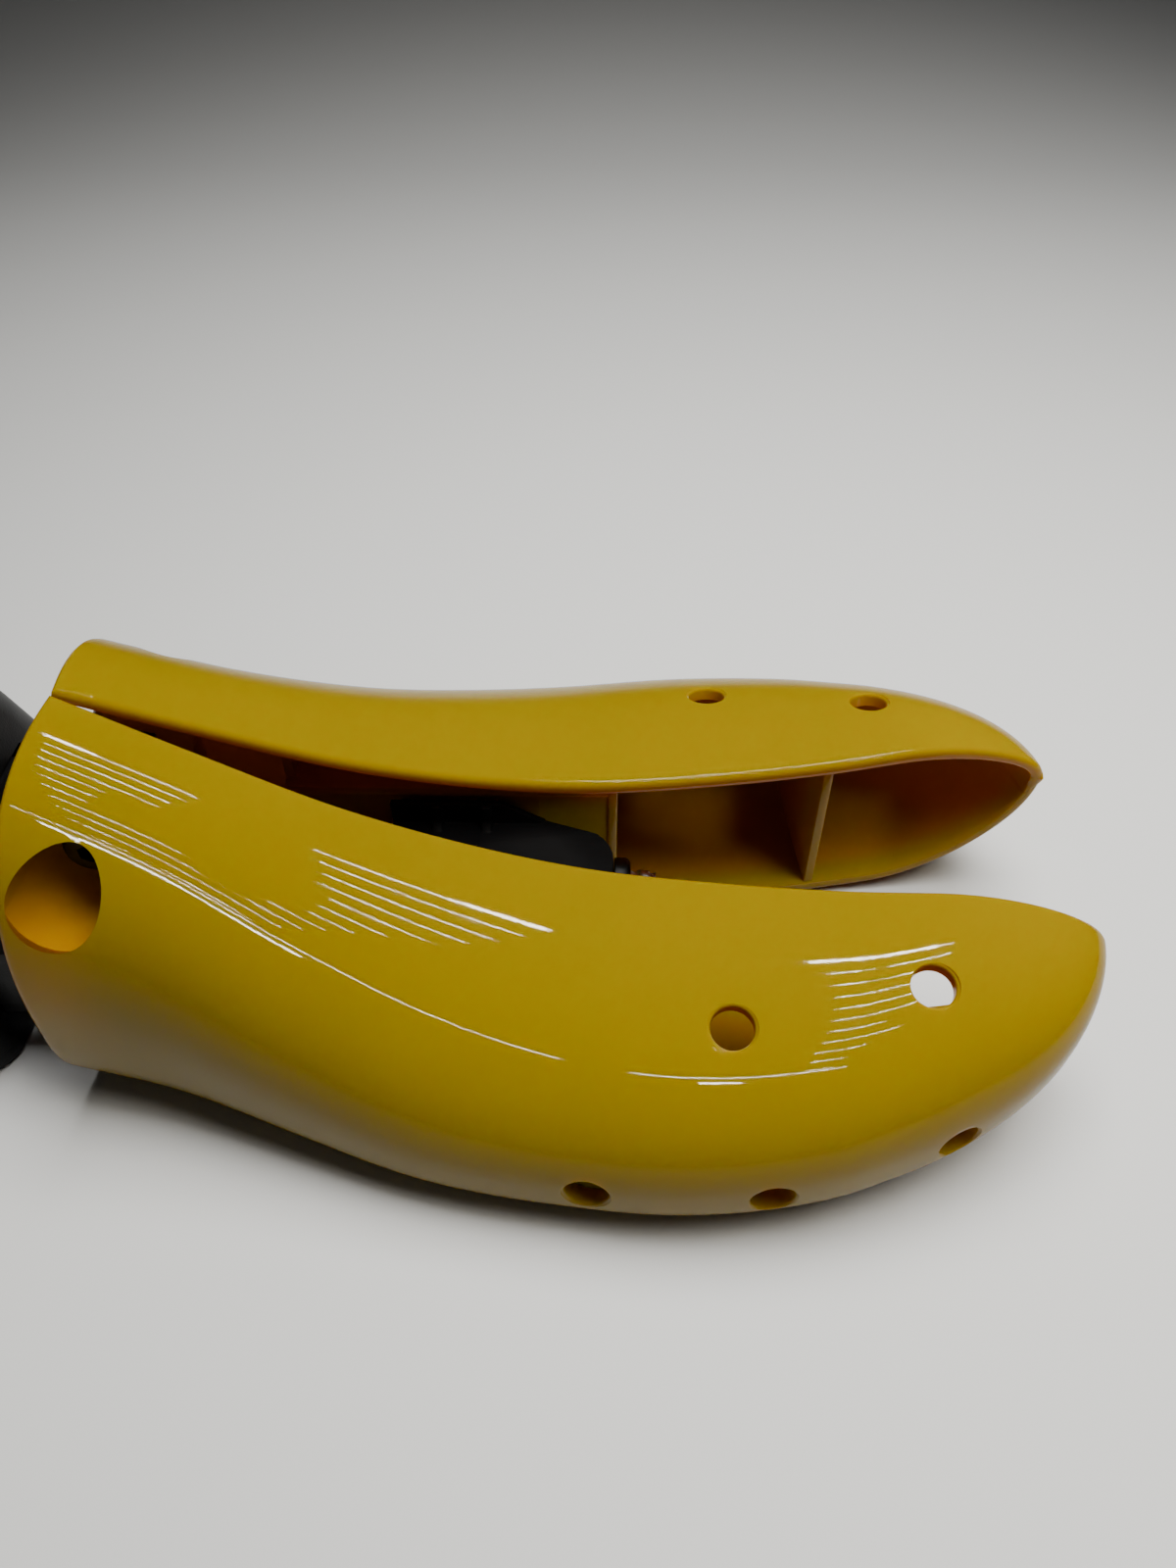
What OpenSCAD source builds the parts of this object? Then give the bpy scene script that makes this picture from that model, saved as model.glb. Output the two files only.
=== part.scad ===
// Two-way shoe stretcher: two hollow front halves that a screw-driven wedge spreads,
// a heel that slides on a serrated bar, a width knob between them and a release button.
// Work frame: X towards the toe, Z up, Y = 0 on the plane that parts the halves.
// X = 0 is the rear face of the halves when they are closed.

/* [Front halves] */
// Length of each front half
fore_l = 160; // [150:1:175]
// Thickness of the moulded walls
wall = 2.4; // [2:0.1:2.8]
// Height of the top line at nine even stations from the rear to the toe
top_h = [60.4, 51, 42.2, 36.3, 33, 32.6, 33.6, 35.9, 36.5]; // [30:0.1:62]
// Half width at the same nine stations
half_w = [33, 34.3, 38.3, 42.2, 43.5, 43, 38.8, 30.6, 27.2]; // [27:0.1:45]
// Height of the toe's tip
tip_h = 27; // [25:0.5:30]
// Height that the sole rises to under the toe
toe_spring = 7.6; // [4:0.2:10]
// Half of the angle that the halves stand open at
open_angle = 6.3; // [5.5:0.1:6.5]
// Gap between the halves when they are closed
closed_gap = 1.8; // [1.6:0.1:2.4]

/* [Peg holes] */
// Diameter of the holes for stretching pegs
peg_d = 6.4; // [5:0.1:7]
// Distance of the two upper holes from the rear face
upper_x = [103.9, 131.9]; // [95:0.1:138]
// Distance of the two upper holes from the parting plane
upper_y = [24.7, 16.3]; // [12:0.1:28]
// Distance of the three low holes from the rear face
low_x = [85.3, 111.9, 138.1]; // [75:0.1:142]
// Height of the three low holes
low_z = [11.8, 11.9, 15.4]; // [10:0.1:18]

/* [Cross screw] */
// Diameter of the large bore in each half
bore_d = 11.6; // [11:0.1:12]
// Distance of the bore from the rear face
bore_x = 8; // [7.6:0.1:8.4]
// Height of the bore
bore_z = 44.5; // [44:0.1:45]
// Depth at which the tube round the bore ends, from the parting plane
boss_y = 4; // [4:0.1:4.6]
// Shank diameter of the cross screw
screw_d = 4; // [3:0.5:4]
// Wire diameter of the two return springs
wire_d = 0.9; // [0.7:0.1:1]
// Turns of each return spring
spring_turns = 3; // [2:1:3]

/* [Hinges] */
// Distance of the hinge pins from the rear face
hinge_x = 7; // [6.6:0.1:7.4]
// Distance of the hinge pins from the parting plane
hinge_y = 9; // [8.8:0.1:9.4]
// Diameter of the hinge pins
pin_d = 4; // [3:0.1:4.2]
// Height of the lower end of the moulded knuckles
knuckle_z = 14; // [13:0.5:15]
// Height of the moulded knuckles
knuckle_h = 14; // [12:0.5:15]

/* [Wedge drive] */
// Height of the threaded rod's axis
rod_z = 18; // [17.6:0.1:18.4]
// Diameter of the threaded rod
rod_d = 5; // [4:0.5:5]
// Half width of the wedge
wedge_w = 9.6; // [9:0.1:9.8]
// Distance of the wedge's rear end from the halves' rear face
wedge_x = 46; // [45:0.5:47]
// Length of the wedge from its rear end to its shoulder
wedge_straight = 25.5; // [24:0.5:26]
// Length of the wedge's tapered front
wedge_taper = 13; // [12:0.5:14]
// Height of the wedge's deck
deck_z = 24; // [23:0.2:24.6]
// Height of the wedge's side rails above its deck
rail_h = 4.5; // [3.5:0.1:4.5]
// Distance that the wedge moves between closed and the pose shown
wedge_travel = 33; // [30:1:33]

/* [Knob] */
// Diameter of the width knob
knob_d = 33; // [30:0.5:33.6]
// Thickness of the width knob
knob_t = 8.8; // [7:0.1:8.8]
// Number of finger scallops round the knob
scallops = 12; // [8:1:14]

/* [Heel] */
// Length of the heel block
heel_l = 54.4; // [50:0.1:60]
// Height of the heel block
heel_h = 56; // [54:0.5:60]
// Half width of the heel block at its widest
heel_w = 30; // [29:0.5:32]
// Width of the serrated bar
bar_w = 14; // [12:0.5:14]
// Height of the serrated bar
bar_h = 8; // [7:0.5:8]
// Height of the bar's underside
bar_z = 26; // [25.6:0.1:26.4]
// Length of the bar behind the frame
bar_l = 42.5; // [40:0.5:43]
// Pitch of the bar's serrations
tooth_pitch = 3.5; // [2.5:0.5:5]
// Length of the release button
button_l = 16; // [14:0.5:17]
// Width of the release button
button_w = 14; // [12:0.5:15]
// Distance that the release button travels
button_travel = 2.5; // [1.5:0.1:2.5]

/* [Hidden] */

YELLOW = "#c8a70d";
BLACK = "#1b1b1d";
GREY = "#55575a";
STEEL = "#b9bcc0";
BRASS = "#c9a24a";

// Clearances: running fits, between flat faces that move, and between fixed faces
run_gap = 0.05;
slide_gap = 0.3;
fit_gap = 0.02;

// Curves of the halves
stations = len(top_h) - 1;
// Share of the height at which each section is widest, and the roundness above and below it,
// at six even stations over fore_l times shape_span
wide_share = [0.35, 0.33, 0.30, 0.34, 0.39, 0.42];
round_top = [2.37, 2.22, 2.14, 2.26, 2.32, 2.16];
round_low = [3.24, 3.44, 3.58, 3.42, 3.03, 2.70];
shape_span = 0.9375;
spring_start = 0.665 * fore_l;
nose_start = 0.827 * fore_l;
sole_drop = 0.25;

function pick(p, i) = i < 0 ? 2 * p[0] - p[1] : i >= len(p) ? 2 * p[len(p) - 1] - p[len(p) - 2] : p[i];
// Smooth curve through evenly spaced values, at the distance t in steps
function smooth(p, t) =
    let (i = max(0, min(len(p) - 2, floor(t))), u = t - i,
         a = pick(p, i - 1), b = pick(p, i), c = pick(p, i + 1), d = pick(p, i + 2))
    b + 0.5 * u * (c - a + u * (2 * a - 5 * b + 4 * c - d + u * (3 * (b - c) + d - a)));
function clamp(v) = max(0, min(1, v));
// Top height, sole height and half width at x, for a surface that lies the inset under the outer one
function section(x, inset) =
    let (s = max(0, x) / fore_l * stations, end = fore_l - inset,
         q = clamp((x - nose_start) / (end - nose_start)),
         close = sqrt(max(0, 1 - q * q)),
         rise = toe_spring * pow(clamp((x - spring_start) / (fore_l - spring_start)), 2),
         top = smooth(top_h, s) - inset, low = rise - sole_drop + inset)
    [tip_h + (top - tip_h) * close, tip_h - (tip_h - low) * close, (smooth(half_w, s) - inset) * close];
function widest_z(x, inset) =
    let (k = section(x, inset), m = smooth(wide_share, clamp(x / fore_l / shape_span) * 5))
    k[1] + m * (k[0] - k[1]);
// Half width of the surface at height z
function side_y(x, z, inset) =
    let (k = section(x, inset), zm = widest_z(x, inset), t = clamp(x / fore_l / shape_span) * 5,
         n = z > zm ? smooth(round_top, t) : smooth(round_low, t),
         h = z > zm ? k[0] - zm : zm - k[1])
    k[2] * pow(max(0, 1 - pow(min(1, abs(z - zm) / h), n)), 1 / n);
// Point of the section at angle a, from 0 at the top to 180 at the sole
function skin(x, a, inset) =
    let (k = section(x, inset), zm = widest_z(x, inset), t = clamp(x / fore_l / shape_span) * 5,
         up = a <= 90, n = up ? smooth(round_top, t) : smooth(round_low, t),
         y = k[2] * pow(max(0, sin(a)), 2 / n), c = pow(abs(cos(a)), 2 / n))
    [x, y, max(inset, up ? zm + (k[0] - zm) * c : zm - (zm - k[1]) * c)];

rings = 30;
arcs = 22;
function ring_x(i, end) = end * sin(90 * i / rings);
// One moulded half as a single skin: outer surface, inner surface and the rim between them
shell_points = concat(
    [for (i = [0:rings - 1]) for (j = [0:arcs]) skin(ring_x(i, fore_l), 180 * j / arcs, 0)],
    [for (i = [0:rings - 1]) for (j = [0:arcs]) skin(ring_x(i, fore_l - wall), 180 * j / arcs, wall)],
    [[fore_l, 0, tip_h], [fore_l - wall, 0, tip_h]]);
row = arcs + 1;
inner = rings * row;
tip = 2 * inner;
last = (rings - 1) * row;
shell_faces = concat(
    [for (i = [0:rings - 2]) for (j = [0:arcs - 1]) each
        let (p = i * row + j, q = p + row) [[p, q + 1, q], [p, p + 1, q + 1]]],
    [for (i = [0:rings - 2]) for (j = [0:arcs - 1]) each
        let (p = inner + i * row + j, q = p + row) [[p, q, q + 1], [p, q + 1, p + 1]]],
    [for (j = [0:arcs - 1]) [last + j, last + j + 1, tip]],
    [for (j = [0:arcs - 1]) [inner + last + j + 1, inner + last + j, tip + 1]],
    [for (j = [0:arcs - 1]) each [[j, inner + j, inner + j + 1], [j, inner + j + 1, j + 1]]],
    [for (i = [0:rings - 2]) for (j = [0, arcs]) each
        let (p = i * row + j, q = p + row, f = [[p, q, inner + q], [p, inner + q, inner + p]])
        j == 0 ? f : [for (t = f) [t[2], t[1], t[0]]]],
    [[last, tip, tip + 1], [last, tip + 1, inner + last]],
    [[last + arcs, inner + last + arcs, tip + 1], [last + arcs, tip + 1, tip]]);

// Peg holes: where each axis meets the surface, and how far it leans from vertical
function top_z(x, y) =
    let (k = section(x, 0), zm = widest_z(x, 0), n = smooth(round_top, clamp(x / fore_l / shape_span) * 5))
    zm + (k[0] - zm) * pow(1 - pow(y / k[2], n), 1 / n);
function upper_at(i) = [upper_x[i], upper_y[i], top_z(upper_x[i], upper_y[i])];
function upper_lean(i) = atan(top_z(upper_x[i], upper_y[i] - 0.5) - top_z(upper_x[i], upper_y[i] + 0.5));
function low_at(i) = [low_x[i], side_y(low_x[i], low_z[i], 0), low_z[i]];
// The low holes stand square to the side, as seen from above
function low_turn(i) = -atan(side_y(low_x[i] - 0.5, low_z[i], 0) - side_y(low_x[i] + 0.5, low_z[i], 0));
peg_reach = 6;

// Places that follow from the driving sizes
half_gap = closed_gap / 2;
boss_wall = 2.3;
boss_r = bore_d / 2 + boss_wall;
seat_t = 2;
seat_hole = screw_d + 3.2;
knuckle_d = pin_d + 4;
ear_d = pin_d + 5;
ear_t = 5.4;
web_t = 1.7;
// Height that clears every piece, for cuts and for webs that are trimmed to the shell
clear_z = top_h[0] + 40;
toe_web_x = 120.4 / 160 * fore_l;
front_web_x = wedge_x + wedge_straight + wedge_taper - 1.5;
rear_web_x = 28;
plate_z = deck_z + rail_h + 0.4;
plate_t = 1.8;
plate_y = 0.5;
track_t = 2.2;
// Turning a closed half about its hinge by the angle a, and back again
function opened(p, a) =
    let (d = [p[0] - hinge_x, p[1] + half_gap - hinge_y])
    [hinge_x + d[0] * cos(a) - d[1] * sin(a), hinge_y + d[0] * sin(a) + d[1] * cos(a)];
function closed(p, a) =
    let (d = [p[0] - hinge_x, p[1] - hinge_y])
    [hinge_x + d[0] * cos(a) + d[1] * sin(a), hinge_y - half_gap - d[0] * sin(a) + d[1] * cos(a)];
// Path of the wedge's shoulder in the half's own frame, as the halves close
shoulder_x = wedge_x + wedge_straight;
track_steps = 5;
track_path = concat(
    [[front_web_x + 0.5, 0.8]],
    [for (i = [0:track_steps]) let (s = i / track_steps)
        closed([shoulder_x - s * wedge_travel, wedge_w + slide_gap], open_angle * (1 - s))],
    [[rear_web_x + 1, wedge_w + slide_gap - half_gap]]);
plate_slope = tan(open_angle);

// Frame, knob and heel along X
front_x = -2.5;
front_t = 3.5;
window_x = front_x - front_t;
window_l = knob_t + 0.7;
back_x = window_x - window_l;
back_t = 4;
heel_x = back_x - 0.1;
cheek_y = 18;
cheek_t = 4.5;
cheek_z = [10, 26];
core_w = 4.6;
fin_w = 3.6;
core_top = 49;
core_l = wedge_x - wedge_travel - slide_gap;
tower_w = 12;
tower_z = 38;
rod_back = 22;
nut_t = 2.8;
rod_nut_r = 4.5;
rod_stick = 4.4;
nose_x = shoulder_x + wedge_taper;
latch_x = heel_x - 11.5;
latch_t = 5;
bar_end = back_x - back_t - bar_l;
heel_back = heel_x - heel_l;

tip_rest = opened([fore_l, 0], open_angle)[0];
mid_x = (tip_rest + heel_back) / 2;

module place() {
    translate([-mid_x, 0, 0]) children();
}

module bar_x(d, x0, x1, y, z, sides = 48) {
    translate([x0, y, z]) rotate([0, 90, 0]) cylinder(d = d, h = x1 - x0, $fn = sides);
}

module bar_y(d, x, y0, y1, z, sides = 48) {
    translate([x, y0, z]) rotate([-90, 0, 0]) cylinder(d = d, h = y1 - y0, $fn = sides);
}

module box(x0, x1, y0, y1, z0, z1) {
    translate([x0, y0, z0]) cube([x1 - x0, y1 - y0, z1 - z0]);
}

// Transverse rib that ends inside the moulded wall, from the depth y0 outwards
module cross_web(x, thick, y0, z0, z1) {
    cut = wall * 0.6;
    top = min(z1, section(x, cut)[0] - 0.2);
    low = max(z0, section(x, cut)[1] + 0.2);
    steps = 14;
    side = [for (i = [0:steps]) let (z = low + (top - low) * i / steps)
        [max(y0 + 0.1, min(side_y(x, z, cut), side_y(x + thick, z, cut))), z]];
    outline = concat([[y0, low]], side, [[y0, top]]);
    translate([x, 0, 0]) rotate([90, 0, 90]) linear_extrude(thick) polygon(outline);
}

module peg_hole(p, dir_turn, dip) {
    translate(p) rotate([0, 0, dir_turn]) rotate([dip, 0, 0])
        translate([0, 0, -peg_reach]) cylinder(d = peg_d, h = 2 * peg_reach, $fn = 48);
}

// The tube round the cross screw, cut to the slope of the side it runs into
module boss_limit() {
    steps = 8;
    cut = wall * 0.5;
    hull() for (x = [0.01, 2 * bore_x + 1.5]) translate([x, 0, 0]) rotate([90, 0, 90])
        linear_extrude(0.01) polygon(concat([[0, 25]],
            [for (i = [0:steps]) let (z = 25 + (section(x, cut)[0] - 25) * i / steps) [side_y(x, z, cut), z]]));
}

module half_body() {
    boss_out = side_y(bore_x, bore_z - boss_r, wall * 0.5);
    knuckle = closed([hinge_x, hinge_y], 0);
    difference() {
        union() {
            polyhedron(shell_points, shell_faces, convexity = 6);
            intersection() {
                bar_y(2 * boss_r, bore_x, boss_y, boss_out, bore_z);
                boss_limit();
            }
            // Hinge knuckle and the web that ties it to the side
            translate([knuckle[0], knuckle[1], knuckle_z]) cylinder(d = knuckle_d, h = knuckle_h, $fn = 48);
            box(knuckle[0] - web_t / 2, knuckle[0] + web_t / 2, knuckle[1] + pin_d / 2 + 0.6,
                side_y(hinge_x, widest_z(hinge_x, 0) + 8, wall * 0.6), knuckle_z, knuckle_z + knuckle_h);
            // Rib over the tube
            cross_web(bore_x - web_t / 2, web_t, 1.6, bore_z + boss_r - 0.6, clear_z);
            cross_web(rear_web_x, web_t, wedge_w + slide_gap - half_gap, 0, clear_z);
            cross_web(front_web_x, web_t, plate_y, 0, plate_z + plate_t);
            cross_web(toe_web_x, web_t, plate_y, 0, clear_z);
            // Plate over the wedge, whose free edge lies along the wedge when the halves stand open
            translate([0, 0, plate_z]) linear_extrude(plate_t) polygon(concat(
                [[front_web_x + web_t, plate_y]],
                [[rear_web_x, plate_y + (front_web_x + web_t - rear_web_x) * plate_slope]],
                [for (i = [0:8]) let (x = rear_web_x + (front_web_x + web_t - rear_web_x) * i / 8)
                    [x, side_y(x, min(plate_z + plate_t, section(x, wall)[0]), wall * 0.6)]]));
            // Track that the wedge's shoulder runs along
            translate([0, 0, wall * 0.6]) linear_extrude(plate_z + 0.2 - wall * 0.6) polygon(concat(
                track_path,
                [for (i = [len(track_path) - 1:-1:0]) track_path[i] + [0, track_t]]));
        }
        bar_y(seat_hole, bore_x, boss_y - 1, boss_out + 20, bore_z);
        bar_y(bore_d, bore_x, boss_y + seat_t, boss_out + 20, bore_z);
        translate([knuckle[0], knuckle[1], knuckle_z - 1])
            cylinder(d = pin_d + 2 * run_gap, h = knuckle_h + 2, $fn = 48);
        for (i = [0, 1]) peg_hole(upper_at(i), 0, -upper_lean(i));
        for (i = [0:2]) peg_hole(low_at(i), low_turn(i), -90);
        // Room for a peg's stem behind the hole that the front web passes
        translate(low_at(0)) rotate([0, 0, low_turn(0)]) rotate([90, 0, 0])
            translate([0, 0, wall + 0.25]) cylinder(d = peg_d + 2.6, h = 12, $fn = 48);
    }
}

module far_shell() {
    color(YELLOW) place() translate([hinge_x, hinge_y, 0]) rotate([0, 0, open_angle])
        translate([-hinge_x, half_gap - hinge_y, 0]) half_body();
}

module near_shell() {
    color(YELLOW) mirror([0, 1, 0]) place() translate([hinge_x, hinge_y, 0]) rotate([0, 0, open_angle])
        translate([-hinge_x, half_gap - hinge_y, 0]) half_body();
}

// Root frame between the halves: hinge ears, the fin that carries the cross screw,
// and the yoke round the knob
module core_frame() {
    color(BLACK) place() difference() {
        union() {
            // Block and fin between the halves
            box(front_x - 1, core_l, -core_w, core_w, knuckle_z - ear_t - slide_gap, bar_z + 9);
            box(front_x - 1, core_l, -fin_w, fin_w, bar_z, core_top);
            // Hinge ears, joined across the block
            for (z = [knuckle_z - ear_t - slide_gap, knuckle_z + knuckle_h + slide_gap]) {
                for (s = [-1, 1]) translate([hinge_x, s * hinge_y, z]) cylinder(d = ear_d, h = ear_t, $fn = 48);
                box(front_x - 1, hinge_x, -hinge_y - ear_d / 2, hinge_y + ear_d / 2, z, z + ear_t);
                box(hinge_x - 0.01, hinge_x + ear_d / 2 - 1, -hinge_y, hinge_y, z, z + ear_t);
            }
            // Yoke: front plate, cheeks and rear plate
            yoke_plate(window_x, front_t);
            yoke_plate(back_x - back_t, back_t);
            for (s = [0, 1]) mirror([0, s, 0])
                box(back_x - 0.01, window_x + 0.01, cheek_y, cheek_y + cheek_t, cheek_z[0], cheek_z[1]);
        }
        // Rod bore, straight through
        bar_x(rod_d + 4 * run_gap, back_x - back_t - 1, core_l + 1, 0, rod_z);
        for (s = [-1, 1]) translate([hinge_x, s * hinge_y, 0]) cylinder(d = pin_d + 2 * fit_gap, h = clear_z, $fn = 48);
        bar_y(screw_d + 2 * fit_gap, bore_x, -20, 20, bore_z);
        // Seat and screw holes of the serrated bar
        box(back_x - back_t - 1, back_x - back_t + 1.5, -bar_w / 2 - fit_gap, bar_w / 2 + fit_gap,
            bar_z - fit_gap, bar_z + bar_h + fit_gap);
        for (s = [-1, 1]) {
            bar_x(2.6, back_x - back_t - 1, back_x + 1, s * bar_screw_y, bar_z + bar_h / 2, 24);
            bar_x(bar_head_d + 0.2, back_x - bar_head_t, back_x + 1, s * bar_screw_y, bar_z + bar_h / 2, 32);
        }
    }
}

bar_screw_y = 4;
bar_head_d = 4.6;
bar_head_t = 1.4;

module yoke_plate(x, t) {
    outer = cheek_y + cheek_t;
    r = 3;
    translate([x, 0, 0]) rotate([90, 0, 90]) linear_extrude(t) union() {
        translate([0, cheek_z[0] + r]) offset(r) square([2 * (outer - r), 0.01], center = true);
        polygon([[-outer, cheek_z[0] + r], [outer, cheek_z[0] + r], [outer, cheek_z[1] - r],
            [outer - r, cheek_z[1]], [tower_w, cheek_z[1]], [tower_w, tower_z - r], [tower_w - r, tower_z],
            [r - tower_w, tower_z], [-tower_w, tower_z - r], [-tower_w, cheek_z[1]],
            [r - outer, cheek_z[1]], [-outer, cheek_z[1] - r]]);
    }
}

// Bar that the heel slides on, with serrations on its underside
module rack_bar() {
    x1 = back_x - back_t + 1.5;
    count = floor((bar_l - 6) / tooth_pitch);
    depth = 1.2;
    color(GREY) place() difference() {
        rotate([90, 0, 0]) translate([0, 0, -bar_w / 2]) linear_extrude(bar_w) polygon(concat(
            [[bar_end, bar_z + bar_h - 1], [bar_end + 1, bar_z + bar_h], [x1, bar_z + bar_h], [x1, bar_z]],
            [for (i = [0:count - 1]) each let (x = x1 - 4 - i * tooth_pitch)
                [[x, bar_z], [x - tooth_pitch * 0.3, bar_z + depth],
                 [x - tooth_pitch * 0.5, bar_z + depth], [x - tooth_pitch * 0.8, bar_z]]],
            [[bar_end + 1, bar_z], [bar_end, bar_z + 1]]));
        for (s = [-1, 1]) bar_x(2.2, x1 - 13, x1 + 1, s * bar_screw_y, bar_z + bar_h / 2, 24);
    }
}

module rack_screws() {
    color(STEEL) place() for (s = [-1, 1]) {
        bar_x(2.1, back_x - back_t - 10, back_x - bar_head_t + 0.01, s * bar_screw_y, bar_z + bar_h / 2, 24);
        difference() {
            bar_x(bar_head_d, back_x - bar_head_t, back_x - 0.1, s * bar_screw_y, bar_z + bar_h / 2, 32);
            bar_x(2.2, back_x - 0.8, back_x + 1, s * bar_screw_y, bar_z + bar_h / 2, 6);
        }
    }
}

module hinge_pin(side) {
    z0 = knuckle_z - ear_t - slide_gap;
    z1 = knuckle_z + knuckle_h + slide_gap + ear_t;
    color(STEEL) place() translate([hinge_x, side * hinge_y, 0]) rotate_extrude($fn = 48) polygon([
        [0, z0 + 0.2], [pin_d / 2 - 0.4, z0 + 0.2], [pin_d / 2, z0 + 0.6], [pin_d / 2, z1 - 0.6],
        [pin_d / 2 - 0.4, z1 - 0.2], [0, z1 - 0.2]]);
}

module near_hinge_pin() {
    hinge_pin(-1);
}

module far_hinge_pin() {
    hinge_pin(1);
}

// Cross screw through the fin, with a washer and a return spring in each bore
seat_y = half_gap + boss_y + seat_t;
spring_l = spring_turns * (wire_d + 0.65) + wire_d;
spring_lift = 0.9;
washer_y = seat_y + spring_lift + spring_l + 0.15;
washer_t = 1;
washer_d = bore_d - 2.8;
head_t = 3.4;
head_d = bore_d - 3.4;
nut_h = 4;
nut_w = 7;

module cross_screw() {
    color(GREY) place() translate([bore_x, 0, bore_z]) rotate([90, 0, 0]) difference() {
        union() {
            translate([0, 0, -washer_y - washer_t - nut_h - 1])
                cylinder(d = screw_d, h = 2 * (washer_y + washer_t) + nut_h + 1.5, $fn = 48);
            translate([0, 0, washer_y + washer_t]) rotate_extrude($fn = 48) polygon([
                [0, 0], [head_d / 2, 0], [head_d / 2, head_t - 0.5], [head_d / 2 - 0.5, head_t], [0, head_t]]);
        }
        translate([0, 0, washer_y + washer_t + head_t - 2]) cylinder(d = 3.6, h = 3, $fn = 6);
    }
}

module cross_nut() {
    color(GREY) place() difference() {
        bar_y(nut_w / cos(30), bore_x, washer_y + washer_t, washer_y + washer_t + nut_h, bore_z, 6);
        bar_y(screw_d + 2 * fit_gap, bore_x, 0, 60, bore_z);
    }
}

module cross_washers() {
    color(STEEL) place() for (s = [0, 1]) mirror([0, s, 0]) difference() {
        bar_y(washer_d, bore_x, washer_y, washer_y + washer_t, bore_z);
        bar_y(screw_d + 0.3, bore_x, 0, 60, bore_z);
    }
}

// Round wire wound as one unbroken tube along Z
coil_steps = 8;
coil_sides = 6;
function coil_at(r, pitch, k) = [r * cos(360 * k / coil_steps), r * sin(360 * k / coil_steps), pitch * k / coil_steps];
function coil_gap(r, pitch, turns, wire) = min([for (k = [0:turns * coil_steps])
    for (m = [k + coil_steps - 2:1:min(k + coil_steps + 2, turns * coil_steps)])
        norm(coil_at(r, pitch, k) - coil_at(r, pitch, m)) - wire]);
module coil(r, wire, pitch, turns) {
    n = turns * coil_steps;
    points = [for (k = [0:n]) for (j = [0:coil_sides - 1])
        let (c = coil_at(r, pitch, k), a = 360 * k / coil_steps, b = 360 * j / coil_sides, w = wire / 2)
        [c[0] + w * cos(b) * cos(a), c[1] + w * cos(b) * sin(a), c[2] + w * sin(b)]];
    faces = concat(
        [[for (j = [0:coil_sides - 1]) j]],
        [for (k = [0:n - 1]) for (j = [0:coil_sides - 1]) each
            let (p = k * coil_sides + j, q = k * coil_sides + (j + 1) % coil_sides)
            [[p, p + coil_sides, q + coil_sides], [p, q + coil_sides, q]]],
        [[for (j = [coil_sides - 1:-1:0]) n * coil_sides + j]]);
    polyhedron(points, faces, convexity = 8);
    echo(str("least gap of a coil to itself, mm: ", coil_gap(r, pitch, turns, wire)));
}

spring_r = (bore_d - 3.4 - wire_d) / 2;
spring_pitch = wire_d + 0.65;
module return_spring(side) {
    color(STEEL) place() translate([bore_x, side * (seat_y + spring_lift + wire_d / 2), bore_z])
        rotate([-90 * side, 0, 0]) coil(spring_r, wire_d, spring_pitch, spring_turns);
}

module near_spring() {
    return_spring(-1);
}

module far_spring() {
    return_spring(1);
}

// Wedge: a deck with two side rails and their gussets, and a tapered nose
wedge_nose_w = wedge_w - 2.9;
module wedge_block() {
    rail_y = wedge_w - 1.3;
    rail_x1 = shoulder_x - 6.5;
    color(BLACK) place() difference() {
        union() {
            translate([0, 0, wedge_z0]) linear_extrude(deck_z - wedge_z0) polygon(concat(
                [[wedge_x, -wedge_w], [shoulder_x, -wedge_w]],
                [for (a = [-60:15:60]) [nose_x - 6 + 6 * cos(a), wedge_nose_w * sin(a) / sin(60) * 0.94]],
                [[shoulder_x, wedge_w], [wedge_x, wedge_w]]));
            for (s = [0, 1]) mirror([0, s, 0]) {
                translate([0, wedge_w, 0]) rotate([90, 0, 0]) linear_extrude(wedge_w - rail_y) polygon([
                    [wedge_x, deck_z - 1], [shoulder_x + 1, deck_z - 1], [shoulder_x + 1, deck_z],
                    [rail_x1, deck_z + rail_h], [wedge_x, deck_z + rail_h]]);
                for (x = [wedge_x + 8, wedge_x + 16.5]) translate([x - 0.9, 0, 0]) rotate([90, 0, 90])
                    linear_extrude(1.8) polygon([[rail_y + 0.1, deck_z + rail_h], [rail_y - 1, deck_z + rail_h],
                        [rail_y - 1, deck_z + 1.2], [rail_y - 2.4, deck_z - 0.1], [rail_y + 0.1, deck_z - 0.1]]);
            }
        }
        bar_x(rod_d + 2 * fit_gap, wedge_x - 1, nose_x + 1, 0, rod_z);
        translate([pin_x, 0, 0]) cylinder(d = lock_d + 2 * fit_gap, h = 60, $fn = 32);
        // Hollows that lighten the moulding from below
        for (s = [0, 1]) mirror([0, s, 0])
            box(wedge_x + 2, shoulder_x - 1, rod_d / 2 + 1.4, wedge_w - 1.8, wedge_z0 - 1, deck_z - 2.4);
    }
}

wedge_z0 = rod_z - 6;
pin_x = wedge_x + 4;
lock_d = 2;

module threaded_rod() {
    color(STEEL) place() difference() {
        translate([-rod_back, 0, rod_z]) rotate([0, 90, 0]) rotate_extrude($fn = 48) polygon([
            [0, 0], [rod_d / 2 - 0.6, 0], [rod_d / 2, 0.6], [rod_d / 2, rod_back + rod_front - 0.6],
            [rod_d / 2 - 0.6, rod_back + rod_front], [0, rod_back + rod_front]]);
        translate([pin_x, 0, 0]) cylinder(d = lock_d + 2 * fit_gap, h = 60, $fn = 32);
    }
}

rod_front = nose_x + nut_t + rod_stick;

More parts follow.
